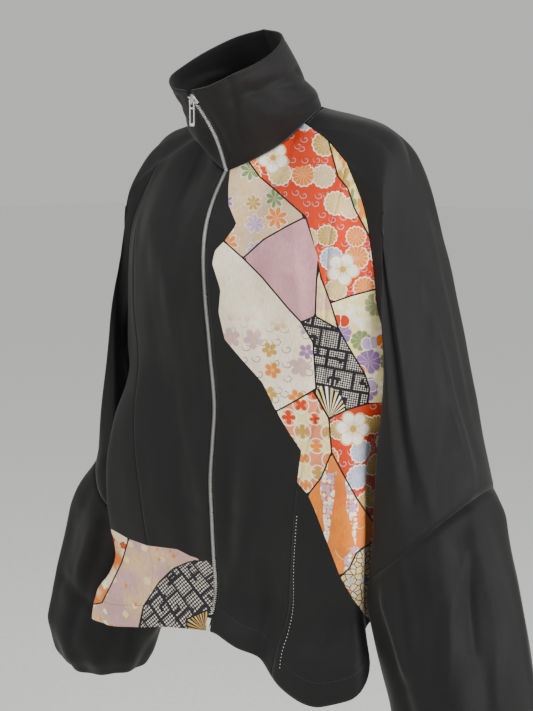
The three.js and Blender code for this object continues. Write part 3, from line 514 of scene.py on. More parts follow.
def line_distance(px, py, line):
    """Distance in pixels from a line of points."""
    near = np.full(np.shape(px), 1e9)
    for (x0, y0), (x1, y1) in zip(line, line[1:]):
        dx = x1 - x0
        dy = y1 - y0
        t = np.clip(((px - x0) * dx + (py - y0) * dy) / (dx * dx + dy * dy), 0, 1)
        near = np.minimum(near, np.hypot(px - x0 - dx * t, py - y0 - dy * t))
    return near


def crease_lift(points, out, lines):
    """Height of the photograph's creases on the sides that face it."""
    px, py, _ = photo_place(points)
    facing = ease((out[..., 0] * TOWARDS_CAMERA[0] + out[..., 1] * TOWARDS_CAMERA[1]) * 3)
    lift = np.zeros(px.shape)
    for line, wide, high in lines:
        lift += high * np.exp(-((line_distance(px, py, line) / wide) ** 2))
    return lift * facing


# Slight unevenness of cloth on the body: wave direction, length in millimetres and height
RIPPLES = [
    ((0.9, 0.3, 0.25), 62, 0.35), ((0.8, -0.5, -0.3), 41, 0.25), ((0.2, 0.4, 0.9), 118, 0.5),
    ((0.97, 0.2, 0.1), 27, 0.14), ((0.5, 0.7, -0.45), 83, 0.3),
]


def ripple(points):
    lift = np.zeros(points.shape[:-1])
    for direction, length, high in RIPPLES:
        lift += high * np.sin(points @ np.array(direction) * 2 * np.pi / length + length)
    return lift


def radial(points):
    """Level direction out of the body's axis."""
    flat = points - np.array([0, BODY_CENTRE, 0])
    flat[..., 2] = 0
    return unit(flat)


SEAM_DIP = 0.9
SEAM_WIDE = 2.6


def run_lengths(grid, axis):
    """Length along the grid's columns or rows up to each point."""
    steps = np.linalg.norm(np.diff(grid, axis=axis), axis=-1)
    shape = list(steps.shape)
    shape[axis] = 1
    return np.concatenate([np.zeros(shape), np.cumsum(steps, axis=axis)], axis=axis)


def seam_dip(grid, closed, ends=(True, True), sides=(True, True)):
    """Sinking of the cloth along its sewn edges: both ends of its rows, and both side columns."""
    up = run_lengths(grid, 1)
    across = run_lengths(grid, 0)
    near = np.full(up.shape, 1e9)
    if ends[0]:
        near = np.minimum(near, up)
    if ends[1]:
        near = np.minimum(near, up[:, -1:] - up)
    if not closed and sides[0]:
        near = np.minimum(near, across)
    if not closed and sides[1]:
        near = np.minimum(near, across[-1:] - across)
    return -SEAM_DIP * np.exp(-((near / SEAM_WIDE) ** 2))


def top_fade(grid, span=22):
    """No crease reaches the panel's top seam, where it meets another direction."""
    up = run_lengths(grid, 1)
    return ease((up[:, -1:] - up) / span)


HEM_FOLD = 28


def hem_step(grid):
    """Turned-up hem: a slightly thicker band that ends in a stitched line."""
    up = run_lengths(grid, 1)
    band = 0.5 * ease((HEM_FOLD + 1 - up) / 2)
    return band - 0.5 * np.exp(-(((up - HEM_FOLD) / 1.8) ** 2)) - 0.5 * np.exp(-((up / 1.5) ** 2))


def shaped_body(grid, lines, sides=(True, True)):
    out = radial(grid)
    lift = (crease_lift(grid, out, lines) + ripple(grid)) * top_fade(grid)
    lift = lift + seam_dip(grid, False, (False, True), sides) + hem_step(grid)
    return grid + out * lift[..., None]


def shaped_tube(grid, lines, ends):
    middle = grid.mean(axis=0, keepdims=True)
    out = grid - middle
    out[..., 2] *= 0.3
    out = unit(out)
    up = run_lengths(grid, 1)
    fade = ease(up / 20) * ease((up[:, -1:] - up) / 20)
    lift = (crease_lift(grid, out, lines) + ripple(grid)) * fade + seam_dip(grid, True, ends)
    return grid + out * lift[..., None]


def mirrored(grid):
    return grid * np.array([-1, 1, 1])


# Patches of the print, left front: outlines in the photograph's pixels
PATCHES_LEFT = {
    "maple": [
        (228, 150), (249, 163), (260, 178), (280, 195), (305, 217), (287, 226), (264, 239), (244, 257),
        (225, 240), (237, 224), (229, 205), (229, 188), (231, 167),
    ],
    "vermilion": [
        (249, 163), (240, 150), (275, 125), (300, 112), (322, 128), (336, 178), (346, 190), (352, 208),
        (365, 232), (380, 262), (380, 286), (350, 294), (330, 301), (320, 275), (312, 240), (305, 217),
        (280, 195), (260, 178),
    ],
    "bamboo": [
        (322, 128), (330, 125), (360, 160), (380, 200), (390, 262), (380, 262), (365, 232), (352, 208),
        (346, 190), (336, 178),
    ],
    "pink": [
        (305, 217), (287, 226), (264, 239), (244, 257), (262, 275), (288, 306), (301, 320), (315, 314),
        (316, 280), (318, 256),
    ],
    "blush": [(318, 256), (320, 275), (330, 301), (338, 327), (315, 314), (316, 280)],
    "cream": [
        (225, 240), (244, 257), (262, 275), (288, 306), (301, 320), (313, 340), (316, 386), (296, 398),
        (276, 409), (262, 380), (240, 355), (225, 337), (219, 310), (221, 288), (213, 262), (216, 249),
    ],
    "fret": [
        (301, 320), (315, 314), (338, 327), (350, 348), (364, 371), (369, 386), (367, 401), (347, 407),
        (316, 386), (313, 340),
    ],
    "pine": [
        (330, 301), (350, 294), (380, 286), (400, 290), (410, 400), (367, 401), (369, 386), (364, 371),
        (350, 348), (338, 327),
    ],
    "fan": [(329, 416), (314, 388), (322, 382), (332, 384), (341, 393), (347, 407)],
    "lozenge": [
        (276, 409), (296, 398), (313, 388), (329, 416), (332, 450), (322, 476), (308, 494), (297, 481),
        (299, 462), (301, 449), (289, 431),
    ],
    "red": [
        (329, 416), (347, 407), (367, 401), (410, 396), (410, 530), (374, 521), (358, 498), (343, 471),
        (332, 450),
    ],
    "wisteria": [
        (332, 450), (343, 471), (358, 498), (374, 521), (410, 530), (372, 542), (358, 553), (351, 569),
        (341, 579), (334, 560), (324, 534), (315, 510), (308, 494), (322, 476),
    ],
    "gold": [
        (341, 579), (351, 569), (358, 553), (372, 542), (410, 530), (410, 650), (380, 631), (366, 618),
        (353, 600),
    ],
}
# Patches of the print, foot of the right front
PATCHES_RIGHT = {
    "poppy": [
        (50, 520), (70, 508), (106, 524), (118, 531), (128, 537), (121, 561), (108, 588), (100, 604),
        (60, 610),
    ],
    "mauve": [
        (128, 537), (147, 544), (177, 548), (190, 555), (205, 560), (188, 562), (172, 569), (158, 583),
        (142, 608), (135, 640), (60, 650), (60, 610), (100, 604), (108, 588), (121, 561),
    ],
    "fret": [
        (205, 560), (222, 562), (222, 650), (212, 650), (207, 612), (185, 622), (190, 650), (135, 650),
        (142, 608), (158, 583), (172, 569), (188, 562),
    ],
    "fan": [(207, 612), (212, 650), (190, 650), (185, 622)],
}
# Turning points of the patterns and the widths across the big blossoms, in the photograph's pixels
FAN_LEFT = (329, 416)
FAN_RIGHT = (208, 640)
BLOSSOM_SCALE = 1.22
BIG_BLOSSOMS = {"vermilion": [(274, 160, 16), (342, 268, 16)], "red": [(353, 427, 17)]}


def patch_inside(points, outline):
    """How far inside a patch each point lies, in millimetres along the cloth."""
    px, py, size = photo_place(points)
    ring = outline + outline[:1]
    inside = np.zeros(px.shape, bool)
    for (x0, y0), (x1, y1) in zip(ring, ring[1:]):
        if y0 == y1:
            continue
        crosses = (y0 > py) != (y1 > py)
        inside ^= crosses & (px < x0 + (py - y0) * (x1 - x0) / (y1 - y0))
    near = line_distance(px, py, ring) * size
    return np.where(inside, near, -near)


# Patches lie only where the cloth faces front, and the value that marks every other place
FRONT_FACING = 0.35
OUTSIDE = -9


def patch_fields(grid, patches):
    """How far inside each patch every point lies."""
    front = radial(grid)[..., 1] < FRONT_FACING
    fields = {}
    for name, outline in patches.items():
        fields[f"patch_{name}"] = np.where(front, patch_inside(grid, outline), OUTSIDE)
    return fields


def plane_place(px, py, grid):
    """Place of a photograph pixel on a panel, across the view and up, in metres."""
    u, v, _ = photo_place(grid)
    point = grid.reshape(-1, 3)[np.argmin(np.hypot(u - px, v - py))] * MM
    return (ACROSS_VIEW[0] * point[0] + ACROSS_VIEW[1] * point[1], point[2], 0)


# Sizes and colours a user may change


def length_property(name, description, default):
    return FloatProperty(name=name, description=description, default=default, unit="LENGTH")


class JacketSizes(PropertyGroup):
    cloth: length_property("Cloth", "Thickness of the crepe", 0.0012)
    collar: length_property("Collar", "Thickness of the collar", 0.002)
    cuff: length_property("Cuff", "Thickness of the elastic cuffs", 0.0018)
    stitch: length_property("Stitch", "Length of one stitch", 0.003)
    stitch_step: length_property("Stitch step", "From stitch to stitch", 0.0042)
    tooth_step: length_property("Tooth step", "From zip tooth to zip tooth", 0.00135)
    cuff_ribs: IntProperty(name="Cuff ribs", description="Ribs round each elastic cuff", default=48, min=8)


def colour_property(name, description, default):
    return FloatVectorProperty(
        name=name, description=description, default=default, size=4, subtype="COLOR", min=0, max=1,
    )


class JacketColours(PropertyGroup):
    crepe: colour_property("Crepe", "Black crepe of the jacket", (0.0072, 0.0066, 0.0066, 1))
    lining: colour_property("Reverse", "Inner face of the cloth", (0.008, 0.008, 0.0085, 1))
    tape: colour_property("Zip tape", "Woven tape of the zip", (0.008, 0.008, 0.009, 1))
    metal: colour_property("Zip metal", "Teeth, slider and pull", (0.82, 0.81, 0.79, 1))
    thread: colour_property("Thread", "Hem stitching", (0.02, 0.02, 0.021, 1))
    mark: colour_property("Pocket thread", "Pick stitches of the pocket", (0.75, 0.73, 0.7, 1))
    vermilion: colour_property("Vermilion", "Ground of the blossom patch", (0.66, 0.04, 0.004, 1))
    cream: colour_property("Cream", "Ground of the flower patch", (0.93, 0.83, 0.62, 1))
    pink: colour_property("Pink", "Plain dusty pink patch", (0.6, 0.31, 0.33, 1))
    studio: colour_property("Studio", "Floor and surroundings", (0.62, 0.62, 0.61, 1))


# Node helpers


def put(tree, value, socket):
    if isinstance(value, bpy.types.NodeSocket):
        tree.links.new(value, socket)
    else:
        socket.default_value = value


def node(tree, kind, inputs=None, **settings):
    made = tree.nodes.new(kind)
    for name, value in settings.items():
        setattr(made, name, value)
    for name, value in (inputs or {}).items():
        put(tree, value, made.inputs[name])
    return made


def maths(tree, operation, *values, clamp=False):
    made = node(tree, "ShaderNodeMath", operation=operation, use_clamp=clamp)
    for k, value in enumerate(values):
        put(tree, value, made.inputs[k])
    return made.outputs[0]


def step(tree, value, low, high, start=0.0, end=1.0):
    made = node(
        tree, "ShaderNodeMapRange",
        {"Value": value, "From Min": low, "From Max": high, "To Min": start, "To Max": end},
        interpolation_type="SMOOTHSTEP",
    )
    return made.outputs["Result"]


def blend(tree, share, first, second):
    made = node(tree, "ShaderNodeMix", data_type="RGBA")
    put(tree, share, made.inputs[0])
    put(tree, first, made.inputs[6])
    put(tree, second, made.inputs[7])
    return made.outputs[2]


def vector(tree, operation, first, second=None, out="Vector"):
    made = node(tree, "ShaderNodeVectorMath", operation=operation)
    put(tree, first, made.inputs[0])
    if second is not None:
        put(tree, second, made.inputs[3 if operation == "SCALE" else 1])
    return made.outputs[out]


def noise(tree, place, scale, detail):
    made = node(tree, "ShaderNodeTexNoise", {"Vector": place, "Scale": scale, "Detail": detail})
    return made.outputs[0]


def flat_cells(tree, place, scale, randomness, **settings):
    """Cells over a flat place: distance, colour and middle point of each."""
    return node(
        tree, "ShaderNodeTexVoronoi", {"Vector": place, "Scale": scale, "Randomness": randomness},
        voronoi_dimensions="2D", **settings,
    ).outputs


def parted(tree, place):
    return node(tree, "ShaderNodeSeparateXYZ", {"Vector": place}).outputs


def object_place(tree):
    return node(tree, "ShaderNodeTexCoord").outputs["Object"]


def roughened(tree, shader, height, strength, distance):
    """Fine relief on a shader."""
    bump = node(tree, "ShaderNodeBump", {"Height": height, "Strength": strength, "Distance": distance})
    put(tree, bump.outputs["Normal"], shader.inputs["Normal"])


def scaled(colour, factor):
    """Lighter or darker colour."""
    return tuple(min(c * factor, 1) for c in colour[:3]) + (1,)


def new_group(name, inputs, outputs):
    """Empty shader group, with the nodes that hold its inputs and outputs."""
    tree = bpy.data.node_groups.new(name, "ShaderNodeTree")
    for label, kind, default in inputs:
        socket = tree.interface.new_socket(name=label, in_out="INPUT", socket_type=f"NodeSocket{kind}")
        if default is not None:
            socket.default_value = default
    for label, kind in outputs:
        tree.interface.new_socket(name=label, in_out="OUTPUT", socket_type=f"NodeSocket{kind}")
    return tree, tree.nodes.new("NodeGroupInput").outputs, tree.nodes.new("NodeGroupOutput").inputs


def use_group(tree, name, inputs):
    made = tree.nodes.new("ShaderNodeGroup")
    made.node_tree = bpy.data.node_groups.get(name) or GROUPS[name]()
    for label, value in inputs.items():
        put(tree, value, made.inputs[label])
    return made.outputs


def flower_group():
    """One blossom, leaf or round flower about a middle point."""
    tree, given, result = new_group(
        "Motif",
        [("Offset", "Vector", None), ("Size", "Float", 0.01), ("Petals", "Float", 5.0),
         ("Notch", "Float", 0.4), ("Point", "Float", 0.6), ("Turn", "Float", 0.0)],
        [("Petal", "Float"), ("Edge", "Float"), ("Vein", "Float"), ("Centre", "Float"), ("Reach", "Float")],
    )
    parts = parted(tree, given["Offset"])
    r = maths(tree, "DIVIDE", vector(tree, "LENGTH", given["Offset"], out="Value"), given["Size"])
    turned = maths(tree, "ADD", maths(tree, "ARCTAN2", parts[1], parts[0]), given["Turn"])
    half = maths(tree, "MULTIPLY", turned, maths(tree, "MULTIPLY", given["Petals"], 0.5))
    wave = maths(tree, "ABSOLUTE", maths(tree, "COSINE", half))
    shaped = maths(tree, "POWER", wave, given["Point"])
    notch = maths(tree, "MULTIPLY", given["Notch"], maths(tree, "SUBTRACT", 1.0, shaped))
    rim = maths(tree, "SUBTRACT", 1.0, notch)
    inside = maths(tree, "SUBTRACT", rim, r)
    petal = step(tree, inside, 0.0, 0.05)
    put(tree, petal, result["Petal"])
    put(tree, maths(tree, "MULTIPLY", petal, step(tree, inside, 0.1, 0.15, 1.0, 0.0)), result["Edge"])
    line = step(tree, maths(tree, "MULTIPLY", wave, maths(tree, "ADD", r, 0.3)), 0.05, 0.11, 1.0, 0.0)
    put(tree, maths(tree, "MULTIPLY", petal, line), result["Vein"])
    put(tree, step(tree, r, 0.16, 0.2, 1.0, 0.0), result["Centre"])
    put(tree, r, result["Reach"])
    return tree


def scatter_group():
    """Motifs strewn over the cloth, each with its own turn and a random number."""
    tree, given, result = new_group(
        "Strewn Motifs",
        [("Place", "Vector", None), ("Scale", "Float", 40.0), ("Random", "Float", 0.6),
         ("Size", "Float", 0.42), ("Petals", "Float", 5.0), ("Notch", "Float", 0.4), ("Point", "Float", 0.6)],
        [("Petal", "Float"), ("Edge", "Float"), ("Vein", "Float"), ("Centre", "Float"), ("Reach", "Float"),
         ("Pick", "Float"), ("Turn", "Float")],
    )
    cells = flat_cells(tree, given["Place"], given["Scale"], given["Random"])
    draws = node(tree, "ShaderNodeSeparateColor", {"Color": cells["Color"]}).outputs
    offset = vector(tree, "SUBTRACT", given["Place"], cells["Position"])
    sized = maths(tree, "MULTIPLY", maths(tree, "DIVIDE", given["Size"], given["Scale"]),
                  step(tree, draws[1], 0.0, 1.0, 0.72, 1.0))
    motif = use_group(tree, "Motif", {
        "Offset": offset, "Size": sized, "Petals": given["Petals"], "Notch": given["Notch"],
        "Point": given["Point"], "Turn": maths(tree, "MULTIPLY", draws[2], 6.283),
    })
    for label in ("Petal", "Edge", "Vein", "Centre", "Reach"):
        put(tree, motif[label], result[label])
    put(tree, draws[0], result["Pick"])
    put(tree, draws[2], result["Turn"])
    return tree


def scroll_group():
    """Thin curling tendrils."""
    tree, given, result = new_group(
        "Scrolls", [("Place", "Vector", None), ("Scale", "Float", 60.0), ("Wide", "Float", 0.1)],
        [("Line", "Float")],
    )
    cells = flat_cells(tree, given["Place"], given["Scale"], 0.8)
    offset = vector(tree, "SUBTRACT", given["Place"], cells["Position"])
    parts = parted(tree, offset)
    r = maths(tree, "MULTIPLY", vector(tree, "LENGTH", offset, out="Value"), given["Scale"])
    turn = maths(tree, "DIVIDE", maths(tree, "ARCTAN2", parts[1], parts[0]), 6.283)
    wound = maths(tree, "ADD", turn, maths(tree, "MULTIPLY", r, 2.6))
    phase = maths(tree, "FRACT", maths(tree, "ADD", wound, 4.0))
    near = maths(tree, "ABSOLUTE", maths(tree, "SUBTRACT", phase, 0.5))
    line = maths(tree, "LESS_THAN", near, given["Wide"])
    ends = step(tree, r, 0.36, 0.4, 1.0, 0.0)
    put(tree, maths(tree, "MULTIPLY", maths(tree, "MULTIPLY", line, ends),
                    maths(tree, "GREATER_THAN", r, 0.05)), result["Line"])
    return tree


def crepe_group():
    """Fine crepe grain of the cloth, read along the cloth in metres."""
    tree, given, result = new_group(
        "Crepe Grain", [("Place", "Vector", None), ("Grain", "Float", 1500.0)],
        [("Height", "Float"), ("Shade", "Float"), ("Sheen", "Float")],
    )
    place = given["Place"]
    fine = noise(tree, place, given["Grain"], 2.0)
    stretched = node(tree, "ShaderNodeMapping", {"Vector": place, "Scale": (1.0, 0.3, 1.0)})
    slubs = noise(tree, stretched.outputs["Vector"], 420.0, 2.0)
    broad = noise(tree, place, 14.0, 3.0)
    height = maths(tree, "ADD", maths(tree, "MULTIPLY", fine, 0.6), maths(tree, "MULTIPLY", slubs, 0.5))
    put(tree, height, result["Height"])
    shade = maths(tree, "ADD", maths(tree, "MULTIPLY", slubs, 0.4), maths(tree, "MULTIPLY", broad, 0.6))
    put(tree, step(tree, shade, 0.35, 0.65), result["Shade"])
    put(tree, step(tree, broad, 0.3, 0.7), result["Sheen"])
    return tree


GROUPS = {
    "Motif": flower_group,
    "Strewn Motifs": scatter_group,
    "Scrolls": scroll_group,
    "Crepe Grain": crepe_group,
}


def new_material(name):
    made = bpy.data.materials.new(name)
    made.use_nodes = True
    tree = made.node_tree
    tree.nodes.clear()
    shader = node(tree, "ShaderNodeBsdfPrincipled")
    out = node(tree, "ShaderNodeOutputMaterial")
    tree.links.new(shader.outputs["BSDF"], out.inputs["Surface"])
    return made, tree, shader


def cloth_finish(tree, shader, colour, place, roughness=0.72, sheen=0.1, strength=0.35):
    """Crepe grain, uneven sheen and soft edge light over a colour."""
    grain = use_group(tree, "Crepe Grain", {"Place": place})
    darker = vector(tree, "SCALE", colour, step(tree, grain["Shade"], 0.0, 1.0, 0.86, 1.08))
    put(tree, darker, shader.inputs["Base Color"])
    uneven = step(tree, grain["Sheen"], 0.0, 1.0, roughness - 0.05, roughness + 0.06)
    put(tree, uneven, shader.inputs["Roughness"])
    roughened(tree, shader, grain["Height"], strength, 0.0003)
    shader.inputs["Sheen Weight"].default_value = sheen
    shader.inputs["Sheen Roughness"].default_value = 0.45
    shader.inputs["Specular IOR Level"].default_value = 0.2


def cloth_place(tree):
    return node(tree, "ShaderNodeUVMap", uv_map="cloth").outputs["UV"]


def plain_cloth(name, colour, **finish):
    made, tree, shader = new_material(name)
    place = cloth_place(tree)
    worn = step(tree, noise(tree, place, 9.0, 4.0), 0.4, 0.7)
    cloth_finish(tree, shader, blend(tree, worn, tuple(colour), scaled(colour, 1.25)), place, **finish)
    return made


def picked(tree, pick, colours):
    """One of several colours by a random number."""
    ramp = node(tree, "ShaderNodeValToRGB", {"Fac": pick})
    ramp.color_ramp.interpolation = "CONSTANT"
    points = ramp.color_ramp.elements
    while len(points) < len(colours):
        points.new(0.5)
    for k, colour in enumerate(colours):
        points[k].position = k / len(colours)
        points[k].color = (*colour, 1)
    return ramp.outputs["Color"]


GOLD = (0.5, 0.29, 0.06)
PALE_GOLD = (0.68, 0.48, 0.18)
OCHRE = (0.5, 0.3, 0.06)
WHITE = (0.93, 0.88, 0.76)
ORANGE = (0.8, 0.22, 0.025)
CORAL = (0.74, 0.2, 0.09)
BEIGE = (0.66, 0.48, 0.24)
SLATE = (0.38, 0.42, 0.52)
PURPLE = (0.28, 0.15, 0.36)
LILAC = (0.5, 0.36, 0.55)
MOSS = (0.2, 0.27, 0.1)
RED = (0.58, 0.04, 0.006)
INK = (0.015, 0.013, 0.016)
FRET_DOT = (0.62, 0.58, 0.5)
TAN = (0.68, 0.46, 0.25)
LEMON = (0.86, 0.72, 0.3)
SALMON = (0.76, 0.26, 0.11)


def strewn(tree, place, ground, colours, edge, scale, shape, size=0.42, random=0.6, keep=0.0, centre=None):
    """Motifs of several colours with outlines over a ground; shape is petals, notch and point."""
    petals, notch, point = shape
    motif = use_group(tree, "Strewn Motifs", {
        "Place": place, "Scale": float(scale), "Random": random, "Size": size, "Petals": float(petals),
        "Notch": notch, "Point": point,
    })
    shown = maths(tree, "GREATER_THAN", motif["Turn"], keep)
    inner = picked(tree, motif["Pick"], colours)
    if centre:
        inner = blend(tree, motif["Centre"], inner, (*centre, 1))
    lines = maths(tree, "MAXIMUM", motif["Edge"], motif["Vein"])
    inner = blend(tree, lines, inner, (*edge, 1))
    return blend(tree, maths(tree, "MULTIPLY", motif["Petal"], shown), ground, inner)


def scrolled(tree, place, ground, colour, scale, wide=0.09):
    line = use_group(tree, "Scrolls", {"Place": place, "Scale": float(scale), "Wide": wide})["Line"]
    return blend(tree, line, ground, (*colour, 1))


def big_blossom(tree, place, ground, centre, size, petals=5, turn=0.3, fill=WHITE, line=PALE_GOLD):
    offset = vector(tree, "SUBTRACT", place, centre)
    motif = use_group(tree, "Motif", {
        "Offset": offset, "Size": size, "Petals": float(petals), "Notch": 0.3, "Point": 0.75, "Turn": turn,
    })
    inner = blend(tree, maths(tree, "MAXIMUM", motif["Edge"], motif["Vein"]), (*fill, 1), (*line, 1))
    spokes = use_group(tree, "Motif", {
        "Offset": offset, "Size": size * 0.5, "Petals": float(petals * 3), "Notch": 0.75, "Point": 1.0,
        "Turn": turn,
    })
    inner = blend(tree, maths(tree, "MULTIPLY", spokes["Petal"], 0.7), inner, (*line, 1))
    inner = blend(tree, motif["Centre"], inner, (*OCHRE, 1))
    return blend(tree, motif["Petal"], ground, inner)


def mottled(tree, place, first, second, scale=120.0):
    cloudy = noise(tree, place, scale, 3.0)
    return blend(tree, step(tree, cloudy, 0.4, 0.62), (*first, 1), (*second, 1))


def netted(tree, place, ground, colour, scale, wide):
    cells = flat_cells(tree, place, scale, 0.7, feature="DISTANCE_TO_EDGE")["Distance"]
    return blend(tree, step(tree, cells, wide, wide * 1.5, 1.0, 0.0), ground, (*colour, 1))


def fret(tree, place, turn, scale=400.0):
    """Black ground with close rows of pale dots, broken by key-like black lines."""
    turned = node(tree, "ShaderNodeMapping", {"Vector": place, "Rotation": (0, 0, turn)}).outputs["Vector"]
    dots = flat_cells(tree, turned, scale, 0.12)["Distance"]
    lines = None
    for size, wide in ((42.0, 0.07), (84.0, 0.16)):
        keys = node(
            tree, "ShaderNodeTexBrick",
            {"Vector": turned, "Scale": size, "Mortar Size": wide, "Brick Width": 0.9, "Row Height": 0.9},
        ).outputs["Fac"]
        if lines is not None:
            broken = noise(tree, turned, 70.0, 0.0)
            keys = maths(tree, "MULTIPLY", keys, maths(tree, "GREATER_THAN", broken, 0.6))
        lines = keys if lines is None else maths(tree, "MAXIMUM", lines, keys)
    pale = blend(tree, step(tree, dots, 0.26, 0.42, 1.0, 0.0), (*INK, 1), (*FRET_DOT, 1))
    return blend(tree, lines, pale, (*INK, 1))


def fan(tree, place, apex, colours, ribs=22.0):
    offset = vector(tree, "SUBTRACT", place, apex)
    parts = parted(tree, offset)
    turn = maths(tree, "ADD", maths(tree, "DIVIDE", maths(tree, "ARCTAN2", parts[1], parts[0]), 6.283), 1.0)
    stripe = maths(tree, "FRACT", maths(tree, "MULTIPLY", turn, ribs))
    return picked(tree, stripe, colours)


def lozenges(tree, place, scale=48.0):
    """Diagonal squares in two colours with a four-petal flower in each and pale lines between."""
    turned = node(tree, "ShaderNodeMapping", {"Vector": place, "Rotation": (0, 0, 0.72)}).outputs["Vector"]
    squares = node(
        tree, "ShaderNodeTexChecker",
        {"Vector": turned, "Color1": (*SALMON, 1), "Color2": (*LEMON, 1), "Scale": scale},
    ).outputs["Color"]
    motif = use_group(tree, "Strewn Motifs", {
        "Place": turned, "Scale": scale, "Random": 0.0, "Size": 0.4, "Petals": 4.0, "Notch": 0.7,
        "Point": 0.8,
    })
    colour = blend(tree, motif["Petal"], squares, picked(tree, motif["Pick"], [RED, OCHRE, ORANGE]))
    ring = maths(tree, "ABSOLUTE", maths(tree, "SUBTRACT", motif["Reach"], 1.15))
    return blend(tree, step(tree, ring, 0.06, 0.1, 1.0, 0.0), colour, (*WHITE, 1))


def wisteria(tree, place, ground):
    """Hanging chains of small petals, lilac above and white below."""
    parts = parted(tree, place)
    sway = noise(tree, place, 24.0, 1.0)
    along = maths(tree, "ADD", maths(tree, "MULTIPLY", parts[0], 34.0), maths(tree, "MULTIPLY", sway, 0.5))
    middle = maths(tree, "ABSOLUTE", maths(tree, "SUBTRACT", maths(tree, "FRACT", along), 0.5))
    taper = maths(tree, "FRACT", maths(tree, "ADD", maths(tree, "MULTIPLY", parts[1], 11.0), sway))
    chain = maths(tree, "LESS_THAN", middle, maths(tree, "MULTIPLY", taper, 0.34))
    petals = use_group(tree, "Strewn Motifs", {
        "Place": place, "Scale": 210.0, "Random": 0.5, "Size": 0.62, "Petals": 4.0, "Notch": 0.3,
        "Point": 0.6,
    })
    lilac = picked(tree, petals["Pick"], [LILAC, WHITE, SLATE, LILAC, WHITE])
    tint = blend(tree, step(tree, taper, 0.35, 0.7), (*WHITE, 1), lilac)
    return blend(tree, maths(tree, "MULTIPLY", chain, petals["Petal"]), ground, tint)


def left_patches(tree, place, colours, spots):
    """Colour of each patch of the left front, by its name."""
    maple = (7, 0.62, 0.8)
    cherry = (5, 0.34, 0.6)
    mum = (14, 0.14, 0.5)
    heart = (2, 0.45, 0.7)
    result = {}
    tan = strewn(tree, place, mottled(tree, place, TAN, (0.66, 0.5, 0.34), 60.0),
                 [CORAL, PURPLE, MOSS, ORANGE, OCHRE, LILAC], WHITE, 36, maple,
                 size=0.52, random=0.5, keep=0.06)
    result["maple"] = tan
    ground = scrolled(tree, place, tuple(colours.vermilion), (0.42, 0.36, 0.36), 78)
    ground = strewn(tree, place, ground, [BEIGE, OCHRE, ORANGE, SLATE, PALE_GOLD, ORANGE], WHITE, 33, mum,
                    size=0.5, keep=0.05)
    for k, (centre, size) in enumerate(spots["vermilion"]):
        ground = big_blossom(tree, place, ground, centre, size, turn=0.4 + k)
    result["vermilion"] = ground
    slanted = node(
        tree, "ShaderNodeMapping", {"Vector": place, "Scale": (1.0, 0.45, 1.0), "Rotation": (0, 0, 0.5)},
    )
    result["bamboo"] = strewn(tree, slanted.outputs["Vector"], mottled(tree, place, LEMON, PALE_GOLD),
                              [ORANGE, MOSS, OCHRE], GOLD, 60, (4, 0.7, 1.0), size=0.5)
    result["pink"] = mottled(tree, place, tuple(colours.pink)[:3], (0.55, 0.27, 0.29), 30.0)
    result["blush"] = strewn(tree, place, mottled(tree, place, (0.7, 0.47, 0.33), LEMON, 70.0),
                             [WHITE, LEMON], PALE_GOLD, 55, (4, 0.3, 0.8), size=0.3, keep=0.4)
    soft = mottled(tree, place, tuple(colours.cream)[:3], (0.86, 0.75, 0.53), 16.0)
    cream = scrolled(tree, place, soft, (0.12, 0.06, 0.09), 58, wide=0.06)
    low = step(tree, parted(tree, place)[1], -0.262, -0.232, 1.0, 0.0)
    cream = blend(tree, low, soft, cream)
    flowers = strewn(tree, place, cream, [OCHRE, ORANGE, RED, (0.6, 0.4, 0.42), GOLD, PURPLE], PALE_GOLD,
                     36, (5, 0.5, 0.75), size=0.48, keep=0.1, centre=PALE_GOLD)
    result["cream"] = blend(tree, low, soft, flowers)
    result["fret"] = fret(tree, place, 0.15)
    pines = strewn(tree, place, mottled(tree, place, LEMON, WHITE, 90.0),
                   [MOSS, PURPLE, (0.3, 0.34, 0.16)], LEMON, 30,
                   (9, 0.2, 0.5), size=0.52, random=0.7, keep=0.2)
    result["pine"] = strewn(tree, place, pines, [ORANGE, RED, LILAC], WHITE, 40, heart, size=0.46, keep=0.45)
    ribs = [INK, LEMON, INK, PALE_GOLD, (0.02, 0.03, 0.06), WHITE]
    result["fan"] = fan(tree, place, spots["fan"], ribs, 11.0)
    result["lozenge"] = lozenges(tree, place)
    red = scrolled(tree, place, (*RED, 1), (0.42, 0.36, 0.36), 80)
    red = strewn(tree, place, red, [OCHRE, ORANGE, SLATE, GOLD], WHITE, 33, mum, size=0.5, keep=0.06)
    for centre, size in spots["red"]:
        red = big_blossom(tree, place, red, centre, size, petals=6, turn=0.1)
    result["red"] = red
    orange = mottled(tree, place, (0.76, 0.21, 0.02), (0.7, 0.17, 0.02), 30.0)
    result["wisteria"] = wisteria(tree, place, scrolled(tree, place, orange, PALE_GOLD, 26, wide=0.04))
    gilt = netted(tree, place, mottled(tree, place, (0.66, 0.55, 0.34), PALE_GOLD, 80.0), INK, 150.0, 0.06)
    result["gold"] = strewn(tree, place, gilt, [RED, SLATE, (0.1, 0.16, 0.36)], GOLD, 58, cherry,
                            size=0.3, keep=0.55)
    return result


